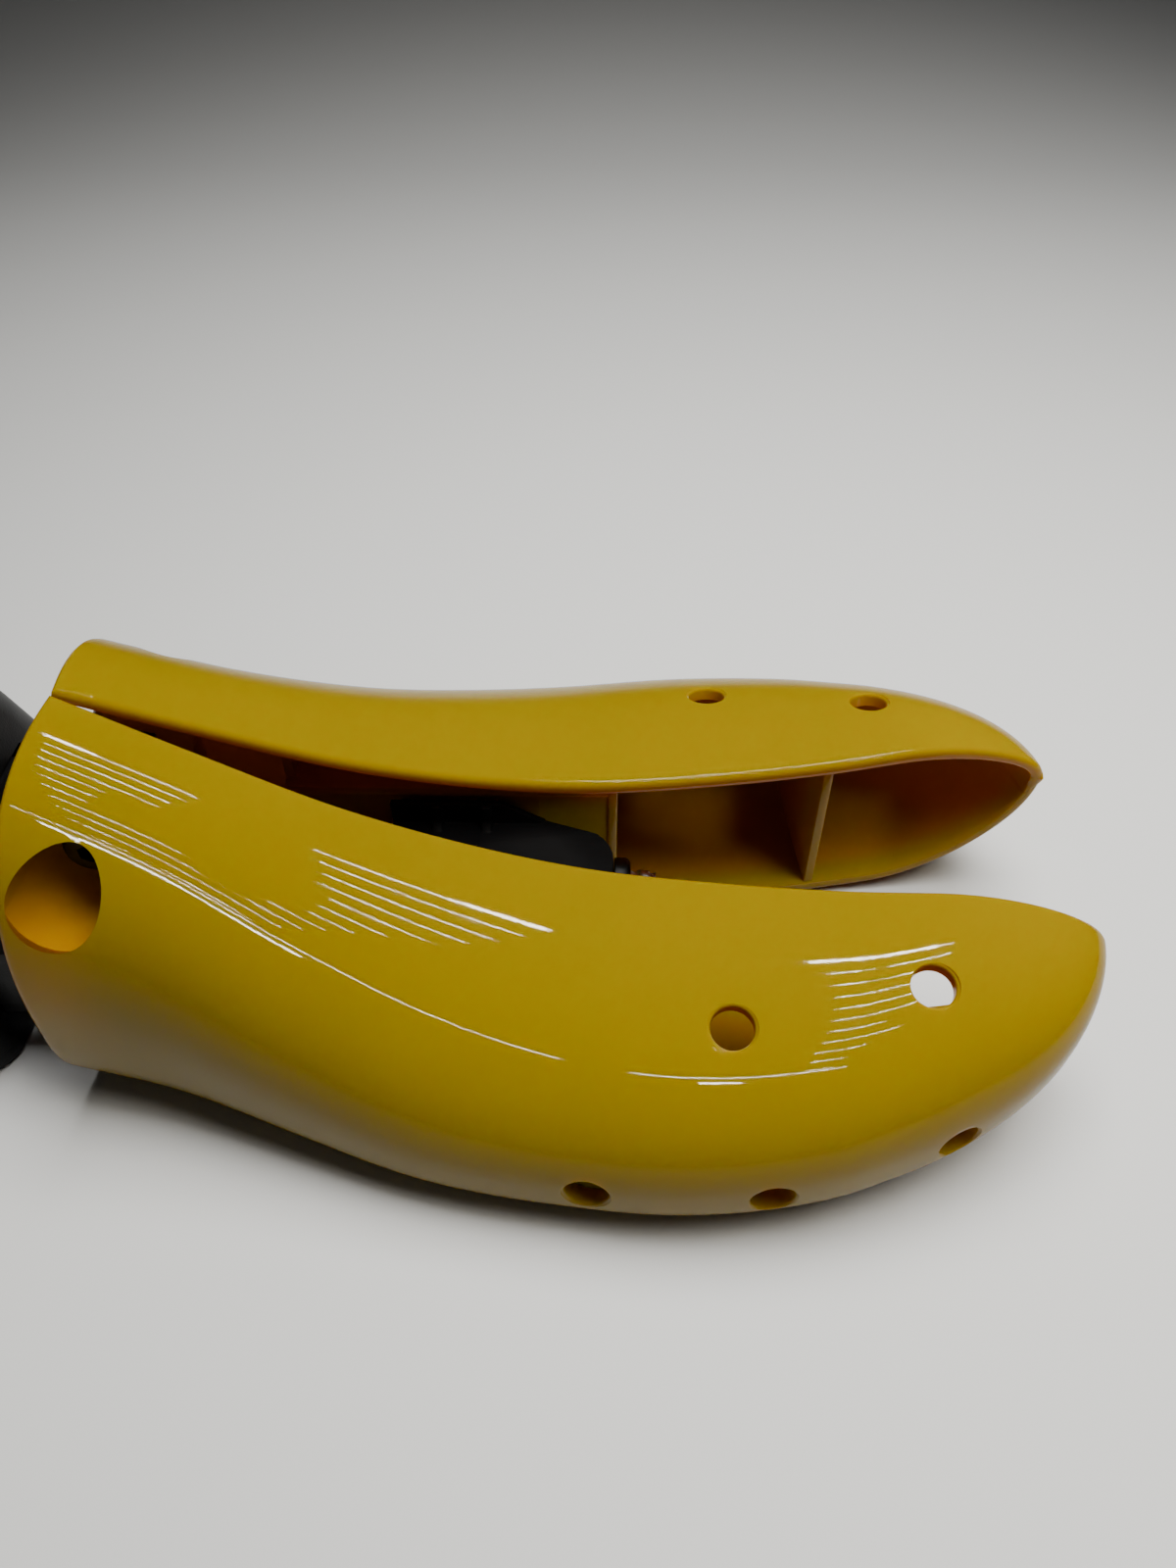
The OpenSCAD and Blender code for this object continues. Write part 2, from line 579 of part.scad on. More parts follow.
module rod_nut() {
    color(GREY) place() difference() {
        translate([nose_x + 0.05, 0, rod_z]) rotate([0, 90, 0]) rotate_extrude($fn = 48) polygon([
            [0, 0], [rod_nut_r, 0], [rod_nut_r, nut_t - 0.8], [rod_nut_r - 0.8, nut_t], [0, nut_t]]);
        bar_x(rod_d + 2 * fit_gap, nose_x - 1, rod_front + 1, 0, rod_z);
    }
}

module rod_pin() {
    color(STEEL) place() translate([pin_x, 0, wedge_z0 + 0.5]) cylinder(d = lock_d, h = deck_z - wedge_z0 - 1, $fn = 32);
}

// Knob that carries the nut and turns in the yoke's window
knob_x0 = back_x + (window_l - knob_t) / 2;
insert_d = 10;
washer_gap = (window_l - knob_t) / 2;
module width_knob() {
    r = knob_d / 2;
    color(BLACK) place() difference() {
        translate([knob_x0, 0, rod_z]) rotate([0, 90, 0]) rotate_extrude($fn = 96) polygon([
            [0, 0], [r - 3, 0], [r - 0.9, 0.9], [r, 2.6], [r, knob_t - 2.6], [r - 0.9, knob_t - 0.9],
            [r - 3, knob_t], [0, knob_t]]);
        bar_x(insert_d + 2 * fit_gap, back_x, window_x, 0, rod_z);
        for (i = [0:scallops - 1]) translate([knob_x0 - 1, 0, rod_z]) rotate([360 * i / scallops, 0, 0])
            translate([0, 0, r + 1.6]) rotate([0, 90, 0]) cylinder(d = 6, h = knob_t + 2, $fn = 32);
    }
}

module knob_insert() {
    color(BRASS) place() difference() {
        bar_x(insert_d, knob_x0, knob_x0 + knob_t, 0, rod_z);
        bar_x(rod_d + 2 * run_gap, back_x, window_x, 0, rod_z);
    }
}

module knob_washers() {
    color(STEEL) place() for (x = [back_x, window_x - washer_gap + 0.05]) difference() {
        bar_x(insert_d + 3, x, x + washer_gap - 0.05, 0, rod_z);
        bar_x(rod_d + 2 * run_gap, back_x - 1, window_x + 1, 0, rod_z);
    }
}

// Outline of the heel block at a given half width and rear end, rounded at the front corners
module heel_slice(z, w, front, rear) {
    r = 7;
    translate([0, 0, z]) linear_extrude(0.01) intersection() {
        union() {
            translate([rear + w, 0]) circle(w, $fn = 48);
            translate([rear + w, -w]) square([front - rear - w - r, 2 * w]);
            translate([front - r - 0.01, -w + r]) square([r, 2 * (w - r)]);
            for (s = [-1, 1]) translate([front - r, s * (w - r)]) circle(r, $fn = 32);
        }
        translate([rear, -w]) square([front - rear, 2 * w]);
    }
}

module heel_form() {
    hull() {
        heel_slice(0, heel_w - 1, heel_x, heel_back + 3);
        heel_slice(heel_h * 0.2, heel_w, heel_x, heel_back);
        heel_slice(heel_h * 0.48, heel_w - 3.5, heel_x, heel_back + 1.5);
        heel_slice(heel_h * 0.76, heel_w - 9.5, heel_x - 0.6, heel_back + 7);
        heel_slice(heel_h - 2, heel_w - 14.5, heel_x - 1.4, heel_back + 13);
        heel_slice(heel_h - 0.01, heel_w - 16.5, heel_x - 3, heel_back + 15.5);
    }
}

base_t = 2.4;
base_inset = 3;
screw_xy = [[heel_x - 0.515 * heel_l, heel_w * 0.57], [heel_x - 0.77 * heel_l, heel_w * 0.27]];
screw_r = 1.28;
screw_head_r = 2.75;
screw_end = base_t + 8.4;
latch_leg = 2;
latch_w = bar_w / 2 + slide_gap + latch_leg;
latch_top = bar_z + bar_h + button_travel + 0.6;
latch_bar = bar_z - rod_z - rod_d / 2 - button_travel - 2 * slide_gap;
latch_low = bar_z - slide_gap - latch_bar;
stem_w = 6;
button_h = 7;
button_z = heel_h + 3;
module heel_block() {
    color(BLACK) place() difference() {
        heel_form();
        // Pocket that takes the yoke's rear plate
        pocket(slide_gap);
        // Channel of the serrated bar, and the rod's tunnel
        box(bar_end - 1, heel_x + 1, -bar_w / 2 - slide_gap, bar_w / 2 + slide_gap, bar_z - slide_gap,
            bar_z + bar_h + slide_gap);
        bar_x(rod_d + 2.4, rod_far - 1, heel_x + 1, 0, rod_z);
        // Shaft of the latch, from the base up to the button
        box(latch_x - latch_t / 2 - slide_gap, latch_x + latch_t / 2 + slide_gap, -latch_w - slide_gap,
            latch_w + slide_gap, latch_low - button_travel - slide_gap, latch_top + latch_bar + slide_gap);
        box(latch_x - latch_t / 2 - slide_gap, latch_x + latch_t / 2 + slide_gap, -stem_w / 2 - slide_gap,
            stem_w / 2 + slide_gap, latch_top, heel_h + 1);
        button_well();
        // Hollow of the moulding and the recess of its base plate
        difference() {
            box(heel_x - 42, heel_x - 20, -20, 20, -1, rod_z - rod_d / 2 - 3.2);
            for (p = screw_xy) for (s = [-1, 1]) translate([p[0], s * p[1], 0]) cylinder(d = 7, h = 40, $fn = 32);
        }
        translate([0, 0, -1]) base_plan(base_t + 1, 0);
        for (p = screw_xy) for (s = [-1, 1]) translate([p[0], s * p[1], -1])
            cylinder(r = screw_r + fit_gap, h = screw_end + 1.2, $fn = 24);
    }
}

rod_far = -rod_back - wedge_travel;

module button_well() {
    translate([latch_x, 0, heel_h - well_t]) linear_extrude(well_t + 1)
        button_plan(button_l + 2 * slide_gap, button_w + 2 * slide_gap);
}

well_t = 8;
module button_plan(l, w) {
    r = 3;
    for (x = [-1, 1]) for (y = [-1, 1]) translate([x * (l / 2 - r), y * (w / 2 - r)]) circle(r, $fn = 32);
    square([l, w - 2 * r], center = true);
    square([l - 2 * r, w], center = true);
}

module pocket(gap) {
    outer = cheek_y + cheek_t + gap;
    x0 = back_x - back_t - gap;
    box(x0, heel_x + 1, -outer, outer, cheek_z[0] - gap, cheek_z[1] + gap);
    box(x0, heel_x + 1, -tower_w - gap - 0.4, tower_w + gap + 0.4, cheek_z[0], tower_z + gap);
}

module base_plan(h, gap) {
    l0 = heel_x - 19 - gap;
    l1 = heel_back + 3 + base_inset + gap;
    w = heel_w - 1 - base_inset - gap;
    linear_extrude(h) intersection() {
        union() {
            translate([l1 + w, 0]) circle(w, $fn = 64);
            translate([l1 + w, -w]) square([l0 - l1, 2 * w]);
        }
        translate([l1, -w]) square([l0 - l1, 2 * w]);
    }
}

// Cover under the heel, held by four countersunk screws
module heel_base() {
    color(BLACK) place() difference() {
        base_plan(base_t, 0.15);
        for (p = screw_xy) for (s = [-1, 1]) translate([p[0], s * p[1], -0.01])
            rotate_extrude($fn = 32) polygon([[0, -1], [screw_head_r + 0.15, -1], [screw_head_r + 0.15, 0.4],
                [screw_r + 0.22, 1.8], [screw_r + 0.22, base_t + 1], [0, base_t + 1]]);
    }
}

module heel_screws() {
    color(STEEL) place() for (p = screw_xy) for (s = [-1, 1]) translate([p[0], s * p[1], 0])
        rotate_extrude($fn = 32) polygon([[0, 1], [1, 0.3], [screw_head_r - 0.05, 0.3], [screw_head_r, 0.5],
            [screw_r, 1.95], [screw_r, screw_end - 0.8], [screw_r / 2, screw_end], [0, screw_end]]);
}

// Release button, its latch frame round the bar, and the spring that lifts both
module release_button() {
    color(GREY) place() difference() {
        translate([latch_x, 0, 0]) union() {
            translate([0, 0, button_z - button_h]) linear_extrude(button_h - 1) button_plan(button_l, button_w);
            translate([0, 0, button_z - 1.01]) linear_extrude(1.01) button_plan(button_l - 1.4, button_w - 1.4);
        }
        // Socket of the latch's stem, and the dish under the thumb
        box(latch_x - latch_t / 2 - fit_gap, latch_x + latch_t / 2 + fit_gap, -stem_w / 2 - fit_gap,
            stem_w / 2 + fit_gap, button_z - button_h - 1, button_z - 2.2);
        translate([latch_x, 0, button_z + 23]) sphere(24, $fn = 96);
        bar_y(lock_d + 2 * fit_gap, latch_x, -button_w, button_w, button_z - 4.6, 32);
    }
}

module latch_frame() {
    x0 = latch_x - latch_t / 2;
    x1 = latch_x + latch_t / 2;
    color(GREY) place() difference() {
        union() {
            box(x0, x1, -latch_w, latch_w, latch_low, latch_top + latch_bar);
            box(x0, x1, -stem_w / 2, stem_w / 2, latch_top, button_z - 2.4);
        }
        box(x0 - 1, x1 + 1, -latch_w + latch_leg, latch_w - latch_leg, latch_low + latch_bar, latch_top);
        bar_y(lock_d + 2 * fit_gap, latch_x, -button_w, button_w, button_z - 4.6, 32);
    }
}

module latch_pin() {
    color(STEEL) place() bar_y(lock_d, latch_x, -button_w / 2 + 0.6, button_w / 2 - 0.6, button_z - 4.6, 32);
}

button_wire = 0.8;
button_pitch = 1.3;
button_turns = 2;
button_coil_r = 5.3;
module button_spring() {
    color(STEEL) place() translate([latch_x, 0, heel_h - well_t + 0.3 + button_wire / 2])
        coil(button_coil_r, button_wire, button_pitch, button_turns);
}

core_frame();
rack_bar();
rack_screws();
near_hinge_pin();
far_hinge_pin();
cross_screw();
cross_nut();
cross_washers();
near_spring();
far_spring();
near_shell();
far_shell();
wedge_block();
threaded_rod();
rod_nut();
rod_pin();
width_knob();
knob_insert();
knob_washers();
heel_block();
heel_base();
heel_screws();
release_button();
latch_frame();
latch_pin();
button_spring();
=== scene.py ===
import math
import bpy
from mathutils import Matrix, Vector


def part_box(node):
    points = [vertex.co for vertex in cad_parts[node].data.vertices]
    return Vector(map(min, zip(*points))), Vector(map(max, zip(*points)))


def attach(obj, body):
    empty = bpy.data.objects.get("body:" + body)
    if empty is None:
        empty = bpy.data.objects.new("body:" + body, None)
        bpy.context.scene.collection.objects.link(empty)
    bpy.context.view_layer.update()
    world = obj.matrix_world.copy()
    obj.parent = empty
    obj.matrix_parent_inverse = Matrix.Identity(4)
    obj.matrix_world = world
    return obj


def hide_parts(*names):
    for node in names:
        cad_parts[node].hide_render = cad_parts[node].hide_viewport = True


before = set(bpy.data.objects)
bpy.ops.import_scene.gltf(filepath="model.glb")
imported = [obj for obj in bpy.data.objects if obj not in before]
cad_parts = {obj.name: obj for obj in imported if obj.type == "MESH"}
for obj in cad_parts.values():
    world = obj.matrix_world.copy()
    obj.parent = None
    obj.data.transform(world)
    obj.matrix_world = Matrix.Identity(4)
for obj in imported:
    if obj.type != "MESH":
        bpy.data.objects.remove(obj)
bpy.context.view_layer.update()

# --- Camera -----------------------------------------------------------------------------
# A phone held above and in front of the sole's near edge, looking down at 45 degrees.
# The lens and place are those at which the front halves fall on their own outlines.

cam_yaw, cam_tilt, cam_roll = math.radians(-1.57), math.radians(45.08), math.radians(-0.46)
cam_place, lens_mm, sensor_mm = (0.03872, -0.1263, 0.1689), 26.17, 36
ahead = Vector((math.sin(cam_yaw) * math.cos(cam_tilt), math.cos(cam_yaw) * math.cos(cam_tilt),
                -math.sin(cam_tilt)))
right = Vector((math.cos(cam_yaw), -math.sin(cam_yaw), 0))
up = right.cross(ahead)
cam_right = math.cos(cam_roll) * right + math.sin(cam_roll) * up
cam_up = -math.sin(cam_roll) * right + math.cos(cam_roll) * up
cam_data = bpy.data.cameras.new("photo_camera")
cam_data.sensor_width = sensor_mm
cam_data.lens = lens_mm
camera = bpy.data.objects.new("photo_camera", cam_data)
bpy.context.scene.collection.objects.link(camera)
turn = Matrix((cam_right, cam_up, -ahead)).transposed().to_4x4()
camera.matrix_world = Matrix.Translation(cam_place) @ turn
bpy.context.scene.camera = camera

# --- Floor and backdrop -----------------------------------------------------------------
# A sheet of matt white board that lies flat and rises behind the object in one soft sweep.
# It is rolled from one strip, so no edge shows between floor and wall.


def select_only(obj=None):
    """Deselects everything, and then selects one object and makes it active."""
    if bpy.context.object and bpy.context.object.mode != "OBJECT":
        bpy.ops.object.mode_set(mode="OBJECT")
    bpy.ops.object.select_all(action="DESELECT")
    if obj:
        obj.select_set(True)
        bpy.context.view_layer.objects.active = obj


def linear(hex_colour):
    """sRGB hex to the linear colour that a shader socket takes."""
    parts = [int(hex_colour[i:i + 2], 16) / 255 for i in (1, 3, 5)]
    return [c / 12.92 if c <= 0.04045 else ((c + 0.055) / 1.055) ** 2.4 for c in parts] + [1.0]


def node(material, kind, settings=None, **inputs):
    """Adds a node: settings are its own properties, inputs are values or sockets to link."""
    made = material.node_tree.nodes.new(kind)
    for name, value in (settings or {}).items():
        setattr(made, name, value)
    for name, value in inputs.items():
        key = int(name[3:]) if name.startswith("in_") else name.replace("_", " ")
        socket = made.inputs[key]
        if isinstance(value, bpy.types.NodeSocket):
            material.node_tree.links.new(value, socket)
        else:
            socket.default_value = value
    return made


def new_material(name):
    material = bpy.data.materials.new(name)
    material.use_nodes = True
    material.node_tree.nodes.clear()
    return material


def finish_material(material, shader):
    out = node(material, "ShaderNodeOutputMaterial")
    material.node_tree.links.new(shader, out.inputs["Surface"])


select_only()
board_size, board_drop = (3.6, 1.6, 1), 0.0004
bpy.ops.mesh.primitive_plane_add(size=1, location=(0.03, 0.16, -board_drop))
board = bpy.context.object
board.name = "white_board"
board.scale = board_size
bpy.ops.object.transform_apply(location=True, scale=True)
bpy.ops.object.mode_set(mode="EDIT")
bpy.ops.mesh.subdivide(number_cuts=63)
bpy.ops.object.mode_set(mode="OBJECT")
sweep_y, sweep_r = 0.42, 0.55
for v in board.data.vertices:
    past = v.co.y - sweep_y
    if past > 0:
        angle = min(past / sweep_r, math.pi / 2)
        v.co.z += sweep_r * (1 - math.cos(angle)) + max(0, past - sweep_r * math.pi / 2)
        v.co.y = sweep_y + sweep_r * math.sin(angle)
bpy.ops.object.shade_smooth()


def noise(material, scale, detail, **more):
    """Noise in the object's own coordinates, whose scale counts per metre."""
    place = node(material, "ShaderNodeTexCoord").outputs["Object"]
    made = node(material, "ShaderNodeTexNoise", Vector=place, Scale=scale, Detail=detail, **more)
    return made.outputs["Fac"]


# Matt coated board: a faint grain of about 1 mm, and no gloss.
board_paint = new_material("matt_white_board")
grain = noise(board_paint, 900.0, 3.0)
bump = node(board_paint, "ShaderNodeBump", Height=grain, Strength=0.05, Distance=0.0002)
paint = node(board_paint, "ShaderNodeBsdfPrincipled", Base_Color=linear("#b3b3b2"), Roughness=0.62,
             Normal=bump.outputs["Normal"])
finish_material(board_paint, paint.outputs["BSDF"])
board.data.materials.append(board_paint)

# --- Front halves -----------------------------------------------------------------------
# Two hollow mouldings in glossy yellow ABS, mirror images, each open on the side that faces
# the other. Webs stiffen them, a plate covers the wedge's track, and pegs push into the holes.

fore_l, wall = 160.0, 2.4
# Height and half width at nine even steps from the rear to the toe
top_h = [60.4, 51, 42.2, 36.3, 33, 32.6, 33.6, 35.9, 36.5]
half_w = [33, 34.3, 38.3, 42.2, 43.5, 43, 38.8, 30.6, 27.2]
# Where the widest line lies between sole and top, and how square the shape is above and below
# it, at six even steps over shape_l
shape_l = 150.0
wide_share = [0.35, 0.33, 0.30, 0.34, 0.39, 0.42]
round_top = [2.37, 2.22, 2.14, 2.26, 2.32, 2.16]
round_low = [3.24, 3.44, 3.58, 3.42, 3.03, 2.70]
tip_h, toe_spring, sole_drop = 27.0, 7.6, 0.25
close_from, lift_from = 0.827, 0.665
open_angle, half_gap, hinge = math.radians(6.3), 0.9, (7.0, 9.0)
bore_x, bore_z, bore_r, tube_r = 8.0, 44.5, 5.8, 8.1
mid_x = 44.9824


def smooth(values, t):
    """Smooth curve through evenly spaced values, at the distance t in steps."""
    i = max(0, min(len(values) - 2, math.floor(t)))
    u = t - i
    a = 2 * values[0] - values[1] if i == 0 else values[i - 1]
    b, c = values[i], values[i + 1]
    d = 2 * values[-1] - values[-2] if i + 2 >= len(values) else values[i + 2]
    return b + 0.5 * u * (c - a + u * (2 * a - 5 * b + 4 * c - d + u * (3 * (b - c) + d - a)))


def section(x, inset):
    """Height of the top, height of the sole and half width, the inset under the outer surface."""
    end, start = fore_l - inset, close_from * fore_l
    q = max(0.0, min(1.0, (x - start) / (end - start)))
    close = math.sqrt(max(0.0, 1 - q * q))
    lift = toe_spring * max(0.0, min(1.0, (x / fore_l - lift_from) / (1 - lift_from))) ** 2
    s = max(0.0, x) / fore_l * 8
    top, low = smooth(top_h, s) - inset, lift - sole_drop + inset
    return tip_h + (top - tip_h) * close, tip_h - (tip_h - low) * close, (smooth(half_w, s) - inset) * close


def oval(x, inset=0.0):
    """Heights of the top, sole and widest line, half width, and the roundings above and below."""
    top, low, wide = section(x, inset)
    t = max(0.0, min(1.0, x / shape_l)) * (len(wide_share) - 1)
    zm = low + smooth(wide_share, t) * (top - low)
    return top, low, zm, wide, smooth(round_top, t), smooth(round_low, t)


def side_y(x, z):
    """Half width of the outer surface at the height z."""
    top, low, zm, wide, n_top, n_low = oval(x)
    n, h = (n_top, top - zm) if z > zm else (n_low, zm - low)
    return wide * max(0.0, 1 - min(1.0, abs(z - zm) / h) ** n) ** (1 / n)


def skin(x, share_round, inset, edge):
    """Point of the moulding's skin: share_round runs from 0 at the top's rim to 1 at the sole's."""
    top, low, zm, wide, n_top, n_low = oval(x, inset)
    e = min(edge, 0.25 * wide) / wide if wide > 0 else 0
    a0 = math.asin(e ** (n_top / 2))
    a1 = math.pi - math.asin(e ** (n_low / 2))
    a = a0 + (a1 - a0) * share_round
    over = a <= math.pi / 2
    n = n_top if over else n_low
    c = abs(math.cos(a)) ** (2 / n)
    z = zm + (top - zm) * c if over else zm - (zm - low) * c
    return (x, wide * max(0.0, math.sin(a)) ** (2 / n), max(inset, z))


weld_mm = 0.0005


def new_object(name, verts, faces, edges=()):
    mesh = bpy.data.meshes.new(name)
    mesh.from_pydata(verts, list(edges), faces)
    obj = bpy.data.objects.new(name, mesh)
    bpy.context.scene.collection.objects.link(obj)
    return obj


def solid(obj, weld=0.0):
    """Welds points that lie within the given distance, and turns all faces outward."""
    select_only(obj)
    bpy.ops.object.mode_set(mode="EDIT")
    bpy.ops.mesh.select_all(action="SELECT")
    if weld:
        bpy.ops.mesh.remove_doubles(threshold=weld)
    bpy.ops.mesh.normals_make_consistent(inside=False)
    bpy.ops.object.mode_set(mode="OBJECT")
    return obj


def tube_faces(rows, count):
    """Faces that join rows of count points each, ring to ring, with a cap at both ends."""
    faces = []
    for m in range(0, (rows - 1) * count, count):
        for k in range(count):
            q = (k + 1) % count
            faces.append([m + k, m + q, m + count + q, m + count + k])
    return faces + [list(range(count))[::-1], list(range((rows - 1) * count, rows * count))]


def aimed(centre, axis):
    """Moves the origin to the centre and turns the Z axis to the given one."""
    spin = Vector((0, 0, 1)).rotation_difference(Vector(axis)).to_matrix().to_4x4()
    return Matrix.Translation(centre) @ spin


def skin_mesh(name, layers, rings, arcs):
    """Closed wall from an outer to an inner surface. Each layer is (pulled in from the rim, inset)."""
    verts, faces = [], []

    def rows(edge, inset, whole):
        grid = []
        for i in range(rings):
            x = edge if i == 0 else (fore_l - inset) * math.sin(math.pi / 2 * i / rings)
            js = range(arcs + 1) if whole or i == 0 else (0, arcs)
            grid.append({j: len(verts) + k for k, j in enumerate(js)})
            verts.extend(skin(x, j / arcs, inset, edge) for j in js)
        verts.append((fore_l - inset, 0, tip_h))
        tip = len(verts) - 1
        rim = [tip] + [grid[i][0] for i in range(rings - 1, -1, -1)]
        rim += [grid[0][j] for j in range(1, arcs)] + [grid[i][arcs] for i in range(rings)]
        return grid, tip, rim

    before = None
    for k, (edge, inset) in enumerate(layers):
        whole = k in (0, len(layers) - 1)
        grid, tip, rim = rows(edge, inset, whole)
        if whole:
            for i in range(rings - 1):
                for j in range(arcs):
                    face = [grid[i][j], grid[i][j + 1], grid[i + 1][j + 1], grid[i + 1][j]]
                    faces.append(face if k == 0 else face[::-1])
            for j in range(arcs):
                face = [grid[rings - 1][j], grid[rings - 1][j + 1], tip]
                faces.append(face if k == 0 else face[::-1])
        if before:
            count = len(rim)
            faces.extend([before[m], before[(m + 1) % count], rim[(m + 1) % count], rim[m]]
                         for m in range(count))
        before = rim
    return solid(new_object(name, verts, faces), weld_mm)


def box_piece(name, x, y, z, bevel=0.3):
    """A block between the given limits, in millimetres, with its edges rounded."""
    select_only()
    bpy.ops.mesh.primitive_cube_add(size=1, location=(sum(x) / 2, sum(y) / 2, sum(z) / 2))
    obj = bpy.context.object
    obj.name = name
    obj.scale = (x[1] - x[0], y[1] - y[0], z[1] - z[0])
    bpy.ops.object.transform_apply(location=True, scale=True)
    bpy.ops.object.mode_set(mode="EDIT")
    bpy.ops.mesh.select_all(action="SELECT")
    if bevel:
        bpy.ops.mesh.bevel(offset=bevel, segments=2, affect="EDGES")
    bpy.ops.object.mode_set(mode="OBJECT")
    return obj


def bevel_sharp(angle, width, segments, clamp=False):
    """Rounds the selected object's edges that are sharper than the angle in degrees."""
    bpy.ops.object.mode_set(mode="EDIT")
    bpy.ops.mesh.select_all(action="DESELECT")
    bpy.ops.mesh.edges_select_sharp(sharpness=math.radians(angle))
    bpy.ops.mesh.bevel(offset=width, segments=segments, affect="EDGES", clamp_overlap=clamp)
    bpy.ops.object.mode_set(mode="OBJECT")


def slab_piece(name, outline, z0, z1, bevel=0.3):
    """A flat outline in X and Y, drawn up from z0 to z1, with its edges rounded."""
    obj = new_object(name, [(x, y, z0) for x, y in outline], [list(range(len(outline)))])
    select_only(obj)
    bpy.ops.object.mode_set(mode="EDIT")
    bpy.ops.mesh.select_all(action="SELECT")
    bpy.ops.mesh.extrude_region_move(TRANSFORM_OT_translate={"value": (0, 0, z1 - z0)})
    solid(obj)
    if bevel:
        bevel_sharp(35, bevel, 2)
    return obj


def turned_piece(name, profile, centre, axis, sides=64):
    """A profile of (radius, distance along the axis) points, spun once round the axis."""
    obj = new_object(name, [(r, 0, a) for r, a in profile], [], [(i, i + 1) for i in range(len(profile) - 1)])
    select_only(obj)
    bpy.ops.object.mode_set(mode="EDIT")
    bpy.ops.mesh.select_all(action="SELECT")
    bpy.ops.mesh.spin(steps=sides, angle=2 * math.pi, center=(0, 0, 0), axis=(0, 0, 1))
    solid(obj, weld_mm)
    obj.data.transform(aimed(centre, axis))
    return obj


def round_bar(name, r, start, end, centre, axis, sides=64):
    """A plain cylinder, which is also the cutter for a round hole."""
    return turned_piece(name, [(0, start), (r, start), (r, end), (0, end)], centre, axis, sides)


def combine(obj, tool, how):
    """Joins, cuts or trims obj by the tool, which is used up."""
    select_only(obj)
    change = obj.modifiers.new("combine", "BOOLEAN")
    change.operation, change.solver, change.object = how, "EXACT", tool
    bpy.ops.object.modifier_apply(modifier=change.name)
    bpy.data.objects.remove(tool)
    return obj


def cut(obj, *tools):
    for tool in tools:
        obj = combine(obj, tool, "DIFFERENCE")
    return obj


def join(objs):
    select_only(objs[0])
    for o in objs:
        o.select_set(True)
    bpy.ops.object.join()
    return bpy.context.object


rings, arcs = ((150, 84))
# The rim's rounding, from the outer surface over the edge to the inner one
rim_r, in_r = 1.15, 0.6
layers = [(rim_r - rim_r * math.sin(a), rim_r - rim_r * math.cos(a))
          for a in (0, math.pi / 6, math.pi / 3, math.pi / 2)]
layers += [(in_r - in_r * math.sin(a), wall - in_r + in_r * math.cos(a))
           for a in (math.pi / 2, math.pi / 4, 0)]
half = skin_mesh("half_moulding", layers, rings, arcs)


def filled_half(inset):
    """The half as one solid body that lies the inset under its outer surface."""
    verts, faces, count, steps = [], [], 60, 36
    for i in range(count):
        x = 0.05 if i == 0 else (fore_l - inset) * math.sin(math.pi / 2 * i / count)
        verts.extend(skin(x, j / steps, inset, 0.05) for j in range(steps + 1))
    verts.append((fore_l - inset, 0, tip_h))
    tip, row = len(verts) - 1, steps + 1
    for i in range(count - 1):
        for j in range(steps):
            faces.append([i * row + j, i * row + j + 1, (i + 1) * row + j + 1, (i + 1) * row + j])
        faces.append([i * row, (i + 1) * row, (i + 1) * row + steps, i * row + steps])
    faces.extend([(count - 1) * row + j, (count - 1) * row + j + 1, tip] for j in range(steps))
    faces.append([(count - 1) * row, tip, (count - 1) * row + steps])
    faces.append(list(range(row)))
    return solid(new_object("filled_half", verts, faces), weld_mm)


def closed(x, y, angle):
    """A point beside an open half, in the frame of the half when it is closed."""
    dx, dy = x - hinge[0], y - hinge[1]
    c, s = math.cos(angle), math.sin(angle)
    return hinge[0] + dx * c + dy * s, hinge[1] - half_gap - dx * s + dy * c


wedge_w, wedge_x, wedge_straight, wedge_taper, wedge_travel = 9.6, 46.0, 25.5, 13.0, 33.0
track_y, past_skin = wedge_w + 0.3, 60
shoulder_x = wedge_x + wedge_straight
front_web, rear_web, toe_web = shoulder_x + wedge_taper - 1.5, 28.0, 120.4
plate_z, plate_t, web_t = 28.9, 1.8, 1.7
slope = math.tan(open_angle)
track = [(front_web + 0.5, 0.8)]
track += [closed(shoulder_x - wedge_travel * i / 5, track_y, open_angle * (1 - i / 5)) for i in range(6)]
track += [(rear_web + 1, track_y - half_gap)]
hinge_spot, bore_spot = (hinge[0], hinge[1] - half_gap, 0), (bore_x, 0, bore_z)
inside = [
    slab_piece("plate", [(front_web + web_t, 0.5), (rear_web, 0.5 + (front_web + web_t - rear_web) * slope),
                         (rear_web, past_skin), (front_web + web_t, past_skin)], plate_z, plate_z + plate_t),
    slab_piece("track", track + [(x, y + 2.2) for x, y in reversed(track)], 1.4, plate_z + 0.2, 0.2),
    box_piece("toe_web", (toe_web, toe_web + web_t), (0.5, past_skin), (-5, 70)),
    box_piece("front_web", (front_web, front_web + web_t), (0.5, past_skin), (-5, plate_z + plate_t)),
    box_piece("rear_web", (rear_web, rear_web + web_t), (track_y - half_gap, past_skin), (-5, 70)),
    box_piece("tube_rib", (bore_x - web_t / 2, bore_x + web_t / 2), (1.6, 40), (bore_z + tube_r - 0.6, 70)),
    turned_piece("tube", [(0, 4.0), (tube_r - 0.5, 4.0), (tube_r - 0.15, 4.15), (tube_r, 4.5),
                          (tube_r, past_skin), (0, past_skin)], bore_spot, (0, 1, 0)),
    turned_piece("knuckle", [(0, 14), (3.7, 14), (4, 14.3), (4, 27.7), (3.7, 28), (0, 28)],
                 hinge_spot, (0, 0, 1), 48),
    box_piece("knuckle_web", (hinge[0] - 1.2, hinge[0] + 1.2), (hinge[1] + 1.7, past_skin), (14, 28)),
]
webs = inside[0]
